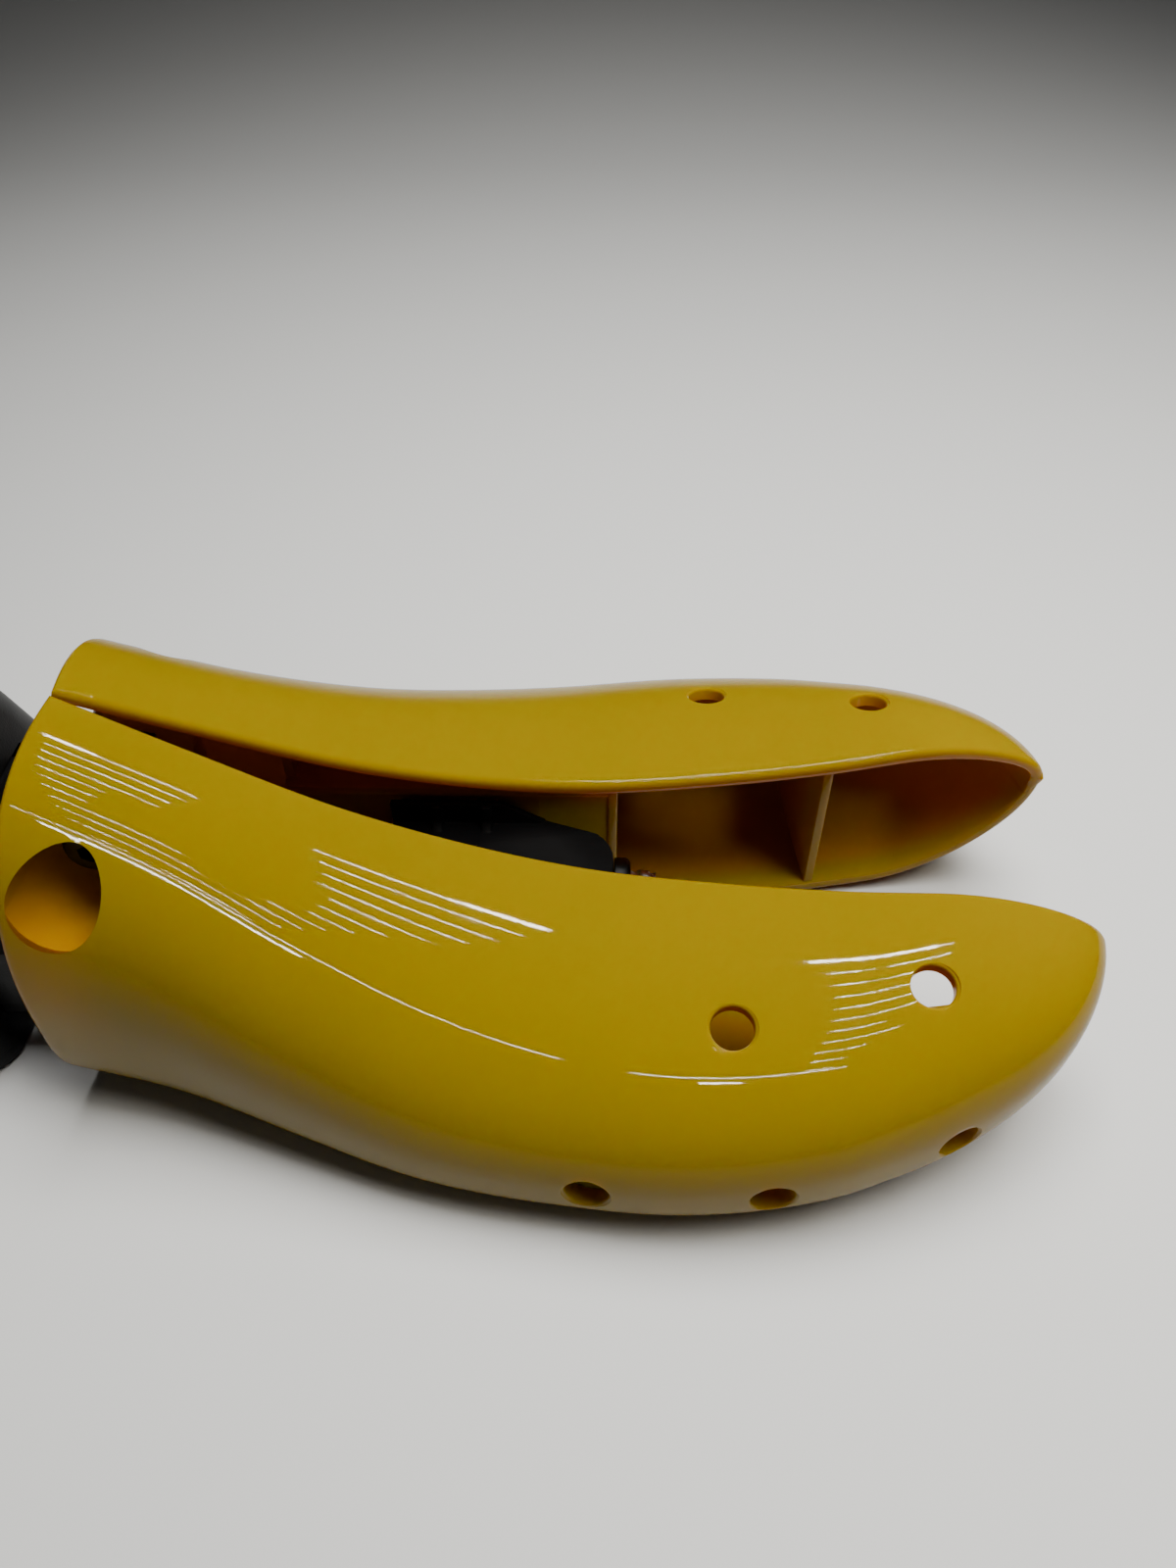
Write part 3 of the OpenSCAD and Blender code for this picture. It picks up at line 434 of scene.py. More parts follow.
for piece in inside[1:]:
    webs = combine(webs, piece, "UNION")
webs = combine(webs, filled_half(wall * 0.55), "INTERSECT")
half = combine(half, webs, "UNION")

# Cutters: the tube's bore and seat, the hinge hole, and the peg holes with softened mouths
cutters = [round_bar("seat", 3.6, 0, 7, bore_spot, (0, 1, 0)),
           round_bar("hinge_hole", 2.05, 10, 32, hinge_spot, (0, 0, 1), 48)]
peg_r, lip = 3.2, 0.55
peg_profile = [(0, -6), (peg_r, -6), (peg_r, -0.65)]
peg_profile += [(peg_r + lip * (1 - math.cos(a)), -0.65 + lip * math.sin(a)) for a in (0.35, 0.7, 1.05, 1.35)]
peg_profile += [(peg_r + lip + 0.25, 0.6), (peg_r + lip + 0.25, 5), (0, 5)]
upper_pegs, lower_pegs = ((103.9, 24.7), (131.9, 16.3)), ((85.3, 11.8), (111.9, 11.9), (138.1, 15.4))


def roof(x, y):
    """Height of the outer surface over a point."""
    top, _, zm, wide, n_top, _ = oval(x)
    return zm + (top - zm) * (1 - (y / wide) ** n_top) ** (1 / n_top)


for x, y in upper_pegs:
    rise = roof(x, y - 0.5) - roof(x, y + 0.5)
    cutters.append(turned_piece("peg", peg_profile, (x, y, roof(x, y)), Vector((0, rise, 1)).normalized()))
for x, z in lower_pegs:
    run = side_y(x - 0.5, z) - side_y(x + 0.5, z)
    spot, axis = (x, side_y(x, z), z), Vector((run, 1, 0)).normalized()
    cutters.append(turned_piece("peg", peg_profile, spot, axis))
    if x == lower_pegs[0][0]:
        # Room for the peg's stem, which reaches the front web here
        cutters.append(round_bar("room", 4.5, -wall - 6, -wall - 0.25, spot, axis))
# The bore's mouth runs up the slope of the side, so its cutter follows that surface
mouth, bore_n = [], 96
for drop, grow in ((None, 0), (1.1, 0), (0.62, 0.06), (0.3, 0.2), (0.08, 0.42), (-0.2, 0.75), (-3, 0.9)):
    for k in range(bore_n):
        a = 2 * math.pi * k / bore_n
        x, z = bore_x + (bore_r + grow) * math.cos(a), bore_z + (bore_r + grow) * math.sin(a)
        reach = side_y(x, min(z, section(x, 0)[0] - 0.6))
        mouth.append((x, 6.0 if drop is None else max(6.5, reach - drop), z))
bore = solid(new_object("bore", mouth, tube_faces(len(mouth) // bore_n, bore_n)))
half = cut(half, join(cutters), bore)

select_only(half)
bpy.ops.object.mode_set(mode="EDIT")
bpy.ops.mesh.select_all(action="SELECT")
bpy.ops.mesh.remove_doubles(threshold=0.01)
bpy.ops.object.mode_set(mode="OBJECT")


def to_row(obj, matrix=None):
    """Sets a piece that was shaped in millimetres into the frame: in metres, at its place along X."""
    place_mm = Matrix.Translation((-mid_x, 0, 0)) @ (matrix or Matrix.Identity(4))
    obj.data.transform(Matrix.Diagonal((0.001, 0.001, 0.001, 1)) @ place_mm)
    return obj


def smooth_off(obj, angle=35):
    select_only(obj)
    bpy.ops.object.shade_smooth_by_angle(angle=math.radians(angle), keep_sharp_edges=False)
    return obj


# How far each point lies from the line where the half is widest, which is where its mould
# parts. The line fades out behind seam_from.
seam_from = 118
seam = half.data.attributes.new("seam_mm", "FLOAT", "POINT")
for v in half.data.vertices:
    x = max(0.0, min(fore_l, v.co.x))
    seam.data[v.index].value = math.hypot(v.co.z - oval(x)[2], max(0.0, seam_from - x) / 40)

# How deep each point lies under the outer skin. The material uses it to paint the inner faces a darker
# orange-brown: painted shade and painted glow for the dim inside, lit only through the plastic.
depth = half.data.attributes.new("depth_mm", "FLOAT", "POINT")
for v in half.data.vertices:
    x, y, z = max(0.0, min(fore_l - 0.5, v.co.x)), max(0.0, v.co.y), v.co.z
    top, low, zm, wide, n_top, n_low = oval(x)
    n, high = (n_top, top - zm) if z > zm else (n_low, zm - low)
    out = ((abs(z - zm) / high) ** n + (y / wide) ** n) ** (1 / n)
    in_bore = math.hypot(x - bore_x, z - bore_z) < bore_r + 1
    depth.data[v.index].value = 0.0 if in_bore else min((1 - out) * min(high, wide), (y - 1.5) / 2)

# Moulded ABS, high gloss: clear, slightly soft reflections, faint waves from shrinking over
# the webs, dust and fine handling marks, and a hair line where the mould's parts met.
abs_yellow = new_material("glossy_moulded_abs_yellow")
waves, pebble = noise(abs_yellow, 40.0, 1.0), noise(abs_yellow, 1400.0, 2.0)
line_at = node(abs_yellow, "ShaderNodeAttribute", {"attribute_name": "seam_mm"})
line_far = node(abs_yellow, "ShaderNodeMath", {"operation": "ABSOLUTE"}, in_0=line_at.outputs["Fac"])
line = node(abs_yellow, "ShaderNodeMapRange", {"interpolation_type": "SMOOTHSTEP"}, Value=line_far.outputs[0],
            From_Min=0.05, From_Max=0.4, To_Min=0.0, To_Max=1.0)
wave_bump = node(abs_yellow, "ShaderNodeBump", Height=waves, Strength=0.03, Distance=0.0012)
fine_bump = node(abs_yellow, "ShaderNodeBump", Height=pebble, Strength=0.015, Distance=0.0001,
                 Normal=wave_bump.outputs["Normal"])
line_bump = node(abs_yellow, "ShaderNodeBump", Height=line.outputs[0], Strength=0.5, Distance=0.0002,
                 Normal=fine_bump.outputs["Normal"])
dust, tint = noise(abs_yellow, 240.0, 6.0, Roughness=0.65), noise(abs_yellow, 18.0, 2.0)
dust_rough = node(abs_yellow, "ShaderNodeMapRange", Value=dust, From_Min=0.45, From_Max=0.8,
                  To_Min=0.02, To_Max=0.06)
tint_mix = node(abs_yellow, "ShaderNodeMix", {"data_type": "RGBA"}, in_0=tint,
                in_6=linear("#746200"), in_7=linear("#7b6900"))
line_mix = node(abs_yellow, "ShaderNodeMix", {"data_type": "RGBA"}, in_0=line.outputs[0],
                in_6=linear("#6a5300"), in_7=tint_mix.outputs[2])
# Painted shade and glow: faces deeper than about 1 mm under the skin take a darker orange-brown in place of
# the dim light that reaches them through the wall
deep_at = node(abs_yellow, "ShaderNodeAttribute", {"attribute_name": "depth_mm"})
deep = node(abs_yellow, "ShaderNodeMapRange", Value=deep_at.outputs["Fac"], From_Min=0.7, From_Max=2.2)
painted_inner_shade_mix = node(abs_yellow, "ShaderNodeMix", {"data_type": "RGBA"}, in_0=deep.outputs[0],
                in_6=line_mix.outputs[2], in_7=linear("#8a6000"))
shine = node(abs_yellow, "ShaderNodeBsdfPrincipled", Base_Color=painted_inner_shade_mix.outputs[2],
             Roughness=dust_rough.outputs[0], IOR=1.5, Specular_IOR_Level=0.22,
             Subsurface_Weight=0.35, Subsurface_Radius=(1.0, 0.42, 0.03), Subsurface_Scale=0.004,
             Normal=line_bump.outputs["Normal"])
# Thin walls of light yellow ABS let a little brown-yellow light through to the inside
through = node(abs_yellow, "ShaderNodeBsdfTranslucent", Color=linear("#e89000"))
both = node(abs_yellow, "ShaderNodeMixShader", in_0=0.24, in_1=shine.outputs["BSDF"],
            in_2=through.outputs["BSDF"])
finish_material(abs_yellow, both.outputs["Shader"])

def dress(obj, material, body, cad):
    """Gives a finished piece its material and its body, and hides the CAD node that it stands for."""
    obj.data.materials.clear()
    obj.data.materials.append(material)
    for polygon in obj.data.polygons:
        polygon.material_index = 0
    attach(obj, body)
    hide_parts(cad)


smooth_off(half, 38)
swing = (Matrix.Translation((hinge[0], hinge[1], 0)) @ Matrix.Rotation(open_angle, 4, "Z")
         @ Matrix.Translation((-hinge[0], half_gap - hinge[1], 0)))
near_half = half.copy()
near_half.data = half.data.copy()
bpy.context.scene.collection.objects.link(near_half)
near_half.name, half.name = "near_half_moulding", "far_half_moulding"
to_row(half, swing)
to_row(near_half, Matrix.Diagonal((1, -1, 1, 1)) @ swing)
near_half.data.flip_normals()
for piece, body, cad in ((near_half, "near_half", "near_shell"), (half, "far_half", "far_shell")):
    dress(piece, abs_yellow, body, cad)

# --- Hinge frame and knob yoke ----------------------------------------------------------
# One moulding in black ABS: ears for the hinge pins, a fin for the cross screw, and a yoke
# round the knob. Satin, because such inner parts come from a spark-eroded mould.


def from_cad(name, cad, bevel):
    """A copy of a CAD node, welded, with its edges rounded by the given width in millimetres."""
    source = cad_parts[cad]
    obj = source.copy()
    obj.data = source.data.copy()
    obj.parent = None
    obj.matrix_world = Matrix.Identity(4)
    obj.hide_render = False
    obj.name = name
    obj.modifiers.clear()
    for key in [k for k in obj.keys() if k.startswith("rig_")]:
        del obj[key]
    bpy.context.scene.collection.objects.link(obj)
    select_only(obj)
    if obj.data.has_custom_normals:
        bpy.ops.mesh.customdata_custom_splitnormals_clear()
    bpy.ops.object.mode_set(mode="EDIT")
    bpy.ops.mesh.select_all(action="SELECT")
    bpy.ops.mesh.remove_doubles(threshold=0.000002)
    bpy.ops.mesh.dissolve_limited(angle_limit=math.radians(0.5))
    bpy.ops.object.mode_set(mode="OBJECT")
    edge = obj.modifiers.new("edge", "BEVEL")
    edge.width, edge.segments, edge.limit_method = bevel / 1000, 2, "ANGLE"
    edge.angle_limit, edge.use_clamp_overlap, edge.miter_outer = math.radians(30), False, "MITER_ARC"
    bpy.ops.object.modifier_apply(modifier=edge.name)
    bpy.ops.object.shade_smooth_by_angle(angle=math.radians(38), keep_sharp_edges=False)
    return obj


# Black ABS from a spark-eroded mould: a fine even grain of about 0.3 mm, satin, no flow lines.
abs_black = new_material("satin_moulded_abs_black")
grain, worn = noise(abs_black, 2600.0, 2.0), noise(abs_black, 90.0, 5.0)
grain_bump = node(abs_black, "ShaderNodeBump", Height=grain, Strength=0.25, Distance=0.00012)
worn_rough = node(abs_black, "ShaderNodeMapRange", Value=worn, From_Min=0.3, From_Max=0.75,
                  To_Min=0.36, To_Max=0.5)
worn_mix = node(abs_black, "ShaderNodeMix", {"data_type": "RGBA"}, in_0=worn,
                in_6=linear("#060607"), in_7=linear("#0b0b0c"))
satin = node(abs_black, "ShaderNodeBsdfPrincipled", Base_Color=worn_mix.outputs[2],
             Roughness=worn_rough.outputs[0], IOR=1.5, Specular_IOR_Level=0.15,
             Normal=grain_bump.outputs["Normal"])
finish_material(abs_black, satin.outputs["BSDF"])
dress(from_cad("hinge_frame", "core_frame", 0.35), abs_black, "core", "core_frame")

# --- Serrated bar -----------------------------------------------------------------------
# Glass-filled nylon bar that the heel slides along, with teeth under it for the latch.
# Two self-tapping screws hold it in the frame's rear plate.

# Glass-filled nylon: dull black with a faint streak of fibres along the flow, 4 mm long.
nylon = new_material("glass_filled_nylon_black")
place = node(nylon, "ShaderNodeTexCoord")
along = node(nylon, "ShaderNodeMapping", Vector=place.outputs["Object"], Scale=(250.0, 1600.0, 1600.0))
fibre = node(nylon, "ShaderNodeTexNoise", Vector=along.outputs["Vector"], Scale=1.0, Detail=3.0)
fibre_bump = node(nylon, "ShaderNodeBump", Height=fibre.outputs["Fac"], Strength=0.2, Distance=0.0001)
fibre_mix = node(nylon, "ShaderNodeMix", {"data_type": "RGBA"}, in_0=fibre.outputs["Fac"],
                 in_6=linear("#040404"), in_7=linear("#080809"))
dull = node(nylon, "ShaderNodeBsdfPrincipled", Base_Color=fibre_mix.outputs[2], Roughness=0.5, IOR=1.5,
            Specular_IOR_Level=0.1, Normal=fibre_bump.outputs["Normal"])
finish_material(nylon, dull.outputs["BSDF"])
dress(from_cad("serrated_bar", "rack_bar", 0.2), nylon, "core", "rack_bar")


def metal(name, scale, detail, shades, rough, uneven=0.0):
    """Bare metal whose shade and roughness drift together with one fine noise."""
    made = new_material(name)
    drift = noise(made, scale, detail)
    rough_at = node(made, "ShaderNodeMapRange", Value=drift, To_Min=rough[0], To_Max=rough[1])
    shade = node(made, "ShaderNodeMix", {"data_type": "RGBA"}, in_0=drift,
                 in_6=linear(shades[0]), in_7=linear(shades[1]))
    body = node(made, "ShaderNodeBsdfPrincipled", Base_Color=shade.outputs[2], Metallic=1.0,
                Roughness=rough_at.outputs[0])
    if uneven:
        bump = node(made, "ShaderNodeBump", Height=drift, Strength=uneven, Distance=0.00005)
        made.node_tree.links.new(bump.outputs["Normal"], body.inputs["Normal"])
    finish_material(made, body.outputs["BSDF"])
    return made


# Zinc-plated steel: bright, slightly clouded, with a faint unevenness of the plating.
zinc = metal("zinc_plated_steel", 700.0, 4.0, ("#a9adb2", "#c9ccd0"), (0.2, 0.4), 0.1)


def threaded(name, radius, pitch, depth, start, end, centre, axis, sides=24):
    """A rod whose surface carries a real thread: one unbroken ridge wound round it from start to end."""
    steps, verts = max(4, int((end - start) / pitch * 8)), []
    for i in range(steps + 1):
        a = start + (end - start) * i / steps
        ease = min(1.0, (a - start) / pitch, (end - a) / pitch)
        for k in range(sides):
            turn_at = 2 * math.pi * k / sides
            phase = (a / pitch - k / sides) % 1.0
            ridge = max(0.0, min(1.0, 2.2 - 5.2 * abs(phase - 0.5)))
            r = radius - depth * (1 - ridge) - 0.5 * depth * (1 - max(0.0, ease))
            verts.append((r * math.cos(turn_at), r * math.sin(turn_at), a))
    obj = new_object(name, verts, tube_faces(steps + 1, sides))
    obj.data.transform(aimed(centre, axis))
    return obj


def recess(obj, across, depth, face, centre, axis, cross=False):
    """Cuts a hexagon or a cross into a screw's head."""
    if cross:
        tools = []
        for k in (0, 1):
            size = ((-across / 2, across / 2), (-across / 9, across / 9))
            tools.append(box_piece("slot", size[k], size[1 - k], (face - depth, face + 2), 0))
        tool = combine(tools[0], tools[1], "UNION")
    else:
        select_only()
        bpy.ops.mesh.primitive_cylinder_add(vertices=6, radius=across / 2 / math.cos(math.pi / 6),
                                            depth=depth + 2, location=(0, 0, face + 1 - depth / 2))
        tool = bpy.context.object
        bpy.ops.object.transform_apply(location=True)
    tool.data.transform(aimed(centre, axis))
    return cut(obj, tool)


def span(cad):
    """A CAD node's limits in millimetres along X, Y and Z, with X counted from the halves' rear."""
    low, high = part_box(cad)
    return [(low[i] * 1000 + shift, high[i] * 1000 + shift) for i, shift in enumerate((mid_x, 0, 0))]


(frame_back, frame_face), _, _ = span("rack_screws")
rack_screw_parts = []
for side in (-4.0, 4.0):
    centre = (0, side, 30)
    shank = threaded("shank", 1.05, 0.9, 0.22, frame_back, frame_face - 1.2, centre, (1, 0, 0))
    head = turned_piece("head", [(r, frame_face - back) for r, back in (
        (0, 1.31), (2.2, 1.31), (2.3, 1.15), (2.3, 0.5), (2.1, 0.15), (1.6, 0), (0, 0))],
        centre, (1, 0, 0), 40)
    rack_screw_parts += [shank, recess(head, 2.2, 0.7, frame_face, centre, (1, 0, 0), cross=True)]
rack_screws = to_row(smooth_off(join(rack_screw_parts)))
rack_screws.name = "bar_screws"
dress(rack_screws, zinc, "core", "rack_screws")

# --- Hinge pins -------------------------------------------------------------------------
# Two steel pins pressed into the frame's ears, which the halves swing on. Their ends are
# chamfered and carry the lathe's centre mark.

for side, cad in ((-1, "near_hinge_pin"), (1, "far_hinge_pin")):
    (x0, x1), _, (z0, z1) = span(cad)
    r = (x1 - x0) / 2
    pin = turned_piece(cad + "_steel", [
        (0, z0 + 0.5), (0.5, z0), (r - 0.45, z0), (r - 0.08, z0 + 0.4), (r, z0 + 0.6),
        (r, z1 - 0.6), (r - 0.08, z1 - 0.4), (r - 0.45, z1), (0.5, z1), (0, z1 - 0.5)],
        (hinge[0], side * hinge[1], 0), (0, 0, 1), 56)
    dress(smooth_off(to_row(pin)), zinc, "core", cad)

# --- Cross screw ------------------------------------------------------------------------
# A socket-head screw goes through the fin and both halves, with a washer and a return spring
# in each bore and a nut at the far end. Its knurled head is blackened steel.

# Blackened steel: oxide film on the machined metal, dark with a dull blue-grey gleam.
black_oxide = metal("black_oxide_steel", 500.0, 4.0, ("#2a2b2e", "#3c3e42"), (0.28, 0.48))

_, (head_y, screw_end), _ = span("cross_screw")
(washer_x0, washer_x1), (seat_y, washer_out), _ = span("cross_washers")
_, (y0, y1), _ = span("cross_nut")
head_seat, head_face, head_r, rod_r = -seat_y, -head_y, 4.1, 2.0
shank = round_bar("shank", rod_r, -20, head_seat + 0.2, bore_spot, (0, -1, 0), 40)
thread = threaded("thread", rod_r, 0.7, 0.38, -screw_end, -19.7, bore_spot, (0, -1, 0), 32)
# The head: each second point of its rings lies deeper, which makes the knurls
knurls, knurl_deep, verts = 40, 0.16, []
head_rings = [(0.35, head_seat), (0, head_seat + 0.25), (0, head_face - 0.75), (0.5, head_face - 0.15),
              (0.9, head_face)]
for inset, along in head_rings:
    for k in range(knurls * 2):
        a = math.pi * k / knurls
        r = head_r - inset - (knurl_deep if k % 2 and inset < 0.4 else 0)
        verts.append((r * math.cos(a), r * math.sin(a), along))
head = new_object("head", verts, tube_faces(len(head_rings), knurls * 2))
head.data.transform(aimed(bore_spot, (0, -1, 0)))
head = recess(head, 3.2, 2.0, head_face, bore_spot, (0, -1, 0))
cross_screw = join([shank, thread, head])
cross_screw.name = "socket_head_cross_screw"
dress(smooth_off(to_row(cross_screw), 30), black_oxide, "core", "cross_screw")

# The nut: a hexagon whose corners are turned off on both faces
nut_corner_r = 4.041
select_only()
bpy.ops.mesh.primitive_cylinder_add(vertices=6, radius=nut_corner_r, depth=y1 - y0,
                                    location=(0, 0, (y0 + y1) / 2))
nut = bpy.context.object
bpy.ops.object.transform_apply(location=True)
nut.data.transform(aimed(bore_spot, (0, 1, 0)))
nut = combine(nut, turned_piece("crown", [(0, y0), (3.45, y0), (4.06, y0 + 0.4), (4.06, y1 - 0.4), (3.45, y1),
                                          (0, y1)], bore_spot, (0, 1, 0)), "INTERSECT")
nut = cut(nut, round_bar("thread_hole", 2.04, y0 - 1, y1 + 1, bore_spot, (0, 1, 0), 40))
nut.name = "cross_screw_nut"
dress(smooth_off(to_row(nut), 30), black_oxide, "core", "cross_nut")

y0, y1, r, washers = washer_out - 1.0, washer_out, (washer_x1 - washer_x0) / 2, []
for side in (-1, 1):
    washers.append(turned_piece("ring", [
        (2.2, y0), (r - 0.15, y0), (r, y0 + 0.15), (r, y1 - 0.25), (r - 0.2, y1), (2.3, y1),
        (2.2, y1 - 0.1), (2.2, y0)], bore_spot, (0, side, 0), 56))
washers = join(washers)
washers.name = "cross_screw_washers"
dress(smooth_off(to_row(washers), 30), zinc, "core", "cross_washers")

# --- Return springs ---------------------------------------------------------------------
# Round spring wire wound in open turns. The halves press on them through the seats in their
# bores, and they draw the halves together when the wedge goes back.

# Spring wire: drawn, oil-tempered steel, grey, with the fine marks of the die.
spring_steel = metal("drawn_spring_steel", 1500.0, 3.0, ("#85888c", "#a3a6ab"), (0.25, 0.42))


def wound(name, radius, wire, pitch, turns, centre, axis):
    """Wire wound round an axis from centre, with its two ends rounded off."""
    sides, steps = 12, 40
    count, verts = int(turns * steps), []
    for i in range(-2, count + 3):
        k = max(0, min(count, i))
        end = 1.0 if 0 <= i <= count else 0.75 if i in (-1, count + 1) else 0.3
        out = 0 if 0 <= i <= count else (0.6 if i in (-1, count + 1) else 0.9) * (1 if i > 0 else -1)
        a = 2 * math.pi * k / steps
        middle = Vector((radius * math.cos(a), radius * math.sin(a), pitch * k / steps))
        middle += Vector((-math.sin(a), math.cos(a), 0)) * out * wire / 2
        w = wire / 2 * end
        for j in range(sides):
            b = 2 * math.pi * j / sides
            out_of_wire = Vector((math.cos(b) * math.cos(a), math.cos(b) * math.sin(a), math.sin(b)))
            verts.append(middle + w * out_of_wire)
    obj = solid(new_object(name, verts, tube_faces(count + 5, sides)))
    obj.data.transform(aimed(centre, axis))
    return obj


for side, cad in ((-1, "near_spring"), (1, "far_spring")):
    start = min(abs(y) for y in span(cad)[1]) + 0.45
    spring = wound(cad + "_wire", 3.65, 0.9, 1.55, 3, (bore_x, side * start, bore_z), (0, side, 0))
    dress(smooth_off(to_row(spring), 50), spring_steel, "core", cad)

# --- Wedge ------------------------------------------------------------------------------
# Nylon wedge with side rails and gussets. It rides on the threaded rod, held by a cross pin
# behind and a round nut in front, and forces the halves apart as it comes forward.

dress(from_cad("wedge_moulding", "wedge_block", 0.3), nylon, "wedge", "wedge_block")

rod_axis = (0, 0, 18)
(x0, x1), _, _ = span("threaded_rod")
rod = solid(threaded("threaded_rod_steel", 2.5, 3.0, 0.45, x0, x1, rod_axis, (1, 0, 0), 40))
tip = turned_piece("tip", [(0, x1 - 0.6), (1.95, x1 - 0.6), (1.9, x1 - 0.3), (1.5, x1), (0, x1)],
                   rod_axis, (1, 0, 0), 40)
rod = join([rod, tip])
rod.name = "threaded_rod_steel"
dress(smooth_off(to_row(rod), 40), zinc, "wedge", "threaded_rod")

(x0, x1), _, _ = span("rod_nut")
round_nut = turned_piece("round_nut", [
    (2.52, x0), (4.3, x0), (4.5, x0 + 0.2), (4.5, x1 - 0.85), (4.3, x1 - 0.4), (3.75, x1),
    (2.8, x1), (2.52, x1 - 0.25), (2.52, x0)], rod_axis, (1, 0, 0))
for k in range(4):
    a = math.pi / 4 + math.pi / 2 * k
    notch = box_piece("notch", (x1 - 1.3, x1 + 1), (3.6, 6), (-0.6, 0.6), 0)
    notch.data.transform(Matrix.Translation(rod_axis) @ Matrix.Rotation(a, 4, "X"))
    round_nut = cut(round_nut, notch)
round_nut.name = "rod_end_nut"
dress(smooth_off(to_row(round_nut), 30), black_oxide, "wedge", "rod_nut")

(x0, x1), _, (z0, z1) = span("rod_pin")
lock = turned_piece("wedge_lock_pin", [
    (0, z0), (0.8, z0), (1, z0 + 0.2), (1, z1 - 0.3), (0.75, z1), (0.3, z1), (0, z1 - 0.2)],
    ((x0 + x1) / 2, 0, 0), (0, 0, 1), 40)
dress(smooth_off(to_row(lock)), zinc, "wedge", "rod_pin")

# --- Width knob -------------------------------------------------------------------------
# Black ABS knob with twelve finger scallops and a dished face on both sides. It turns
# between the yoke's plates on two washers, and its brass insert carries the rod's thread.

(x0, x1), _, _ = span("width_knob")
knob_r, scallop_n, scallop_out = 16.5, 12, 18.1
knob = turned_piece("width_knob_moulding", [
    (0, x0), (7.5, x0), (7.8, x0 + 0.5), (12.2, x0 + 0.5), (12.6, x0), (13.5, x0), (15, x0 + 0.45),
    (15.9, x0 + 1.3), (knob_r, x0 + 2.9), (knob_r, x1 - 2.9), (15.9, x1 - 1.3), (15, x1 - 0.45), (13.5, x1),
    (12.6, x1), (12.2, x1 - 0.5), (7.8, x1 - 0.5), (7.5, x1), (0, x1)], rod_axis, (1, 0, 0), 144)
scallops = []
for k in range(scallop_n):
    a = 2 * math.pi * k / scallop_n
    spot = (0, scallop_out * math.cos(a), rod_axis[2] + scallop_out * math.sin(a))
    scallops.append(turned_piece("scallop", [
        (0, x0 - 1), (3.5, x0 - 1), (3.3, x0 + 0.6), (3.0, x0 + 1.6), (3.0, x1 - 1.6), (3.3, x1 - 0.6),
        (3.5, x1 + 1), (0, x1 + 1)], spot, (1, 0, 0), 40))
knob = cut(knob, join(scallops), round_bar("insert_hole", 5.02, x0 - 1, x1 + 1, rod_axis, (1, 0, 0)))
knob.name = "width_knob_moulding"
dress(smooth_off(to_row(knob), 42), abs_black, "knob", "width_knob")

# Turned brass, lightly tarnished: warm yellow, clouded where the film is thicker.
brass = metal("turned_brass", 350.0, 4.0, ("#b98f3e", "#d2ad5c"), (0.18, 0.36))

insert = turned_piece("threaded_brass_insert", [
    (2.75, x0), (4.7, x0), (5, x0 + 0.3), (5, x0 + 2.2), (4.7, x0 + 2.4), (4.7, x0 + 2.9), (5, x0 + 3.1),
    (5, x1 - 3.1), (4.7, x1 - 2.9), (4.7, x1 - 2.4), (5, x1 - 2.2), (5, x1 - 0.3), (4.7, x1), (2.75, x1),
    (2.55, x1 - 0.25), (2.55, x0 + 0.25), (2.75, x0)], rod_axis, (1, 0, 0))
dress(smooth_off(to_row(insert), 30), brass, "knob", "knob_insert")

(w0, w1), _, _ = span("knob_washers")
thick, knob_rings = x0 - w0 - 0.05, []
for start in (w0, w1 - thick):
    end = start + thick
    knob_rings.append(turned_piece("ring", [
        (2.56, start), (6.42, start), (6.5, start + 0.06), (6.5, end - 0.06), (6.42, end), (2.56, end),
        (2.56, start)], rod_axis, (1, 0, 0)))
knob_rings = join(knob_rings)
knob_rings.name = "knob_thrust_washers"
dress(smooth_off(to_row(knob_rings), 30), zinc, "core", "knob_washers")

# --- Heel -------------------------------------------------------------------------------
# Black ABS heel, round at the back and drawn in towards the top like a heel's own form.
# Its front has a pocket for the yoke, and it is closed below by a screwed base plate.

heel_x = span("heel_block")[0][1]
heel_back, heel_h, heel_w, corner_r = -70.0, 56.0, 30.0, 7.0
# Share of the height, and how far the sides, the front and the back draw in there
stages = [(0.0, 1.0, 0.0, 3.0), (0.05, 0.55, 0.0, 1.9), (0.2, 0.0, 0.0, 0.0), (0.34, 0.9, 0.0, 0.25),
          (0.48, 3.5, 0.0, 1.5), (0.62, 6.2, 0.25, 3.9), (0.76, 9.5, 0.6, 7.0), (0.87, 12.1, 0.95, 10.1),
          (0.9643, 14.5, 1.4, 13.0), (0.992, 15.5, 2.1, 14.1), (1.0, 17.4, 3.8, 16.4)]
verts = []
for share_up, narrower, front_in, back_in in stages:
    w, front, rear, r = heel_w - narrower, heel_x - front_in, heel_back + back_in, corner_r
    ring = []
    for k in range(49):
        a = -math.pi / 2 - math.pi * k / 48
        ring.append((rear + w + w * math.cos(a), w * math.sin(a)))
    for k in range(9):
        a = math.pi / 2 - math.pi / 2 * k / 8
        ring.append((front - r + r * math.cos(a), w - r + r * math.sin(a)))
    for k in range(9):
        a = -math.pi / 2 * k / 8
        ring.append((front - r + r * math.cos(a), r - w + r * math.sin(a)))
    verts += [(x, y, share_up * heel_h) for x, y in ring]
heel = solid(new_object("heel_moulding", verts, tube_faces(len(stages), len(ring))))
bevel_sharp(50, 0.5, 3, clamp=True)

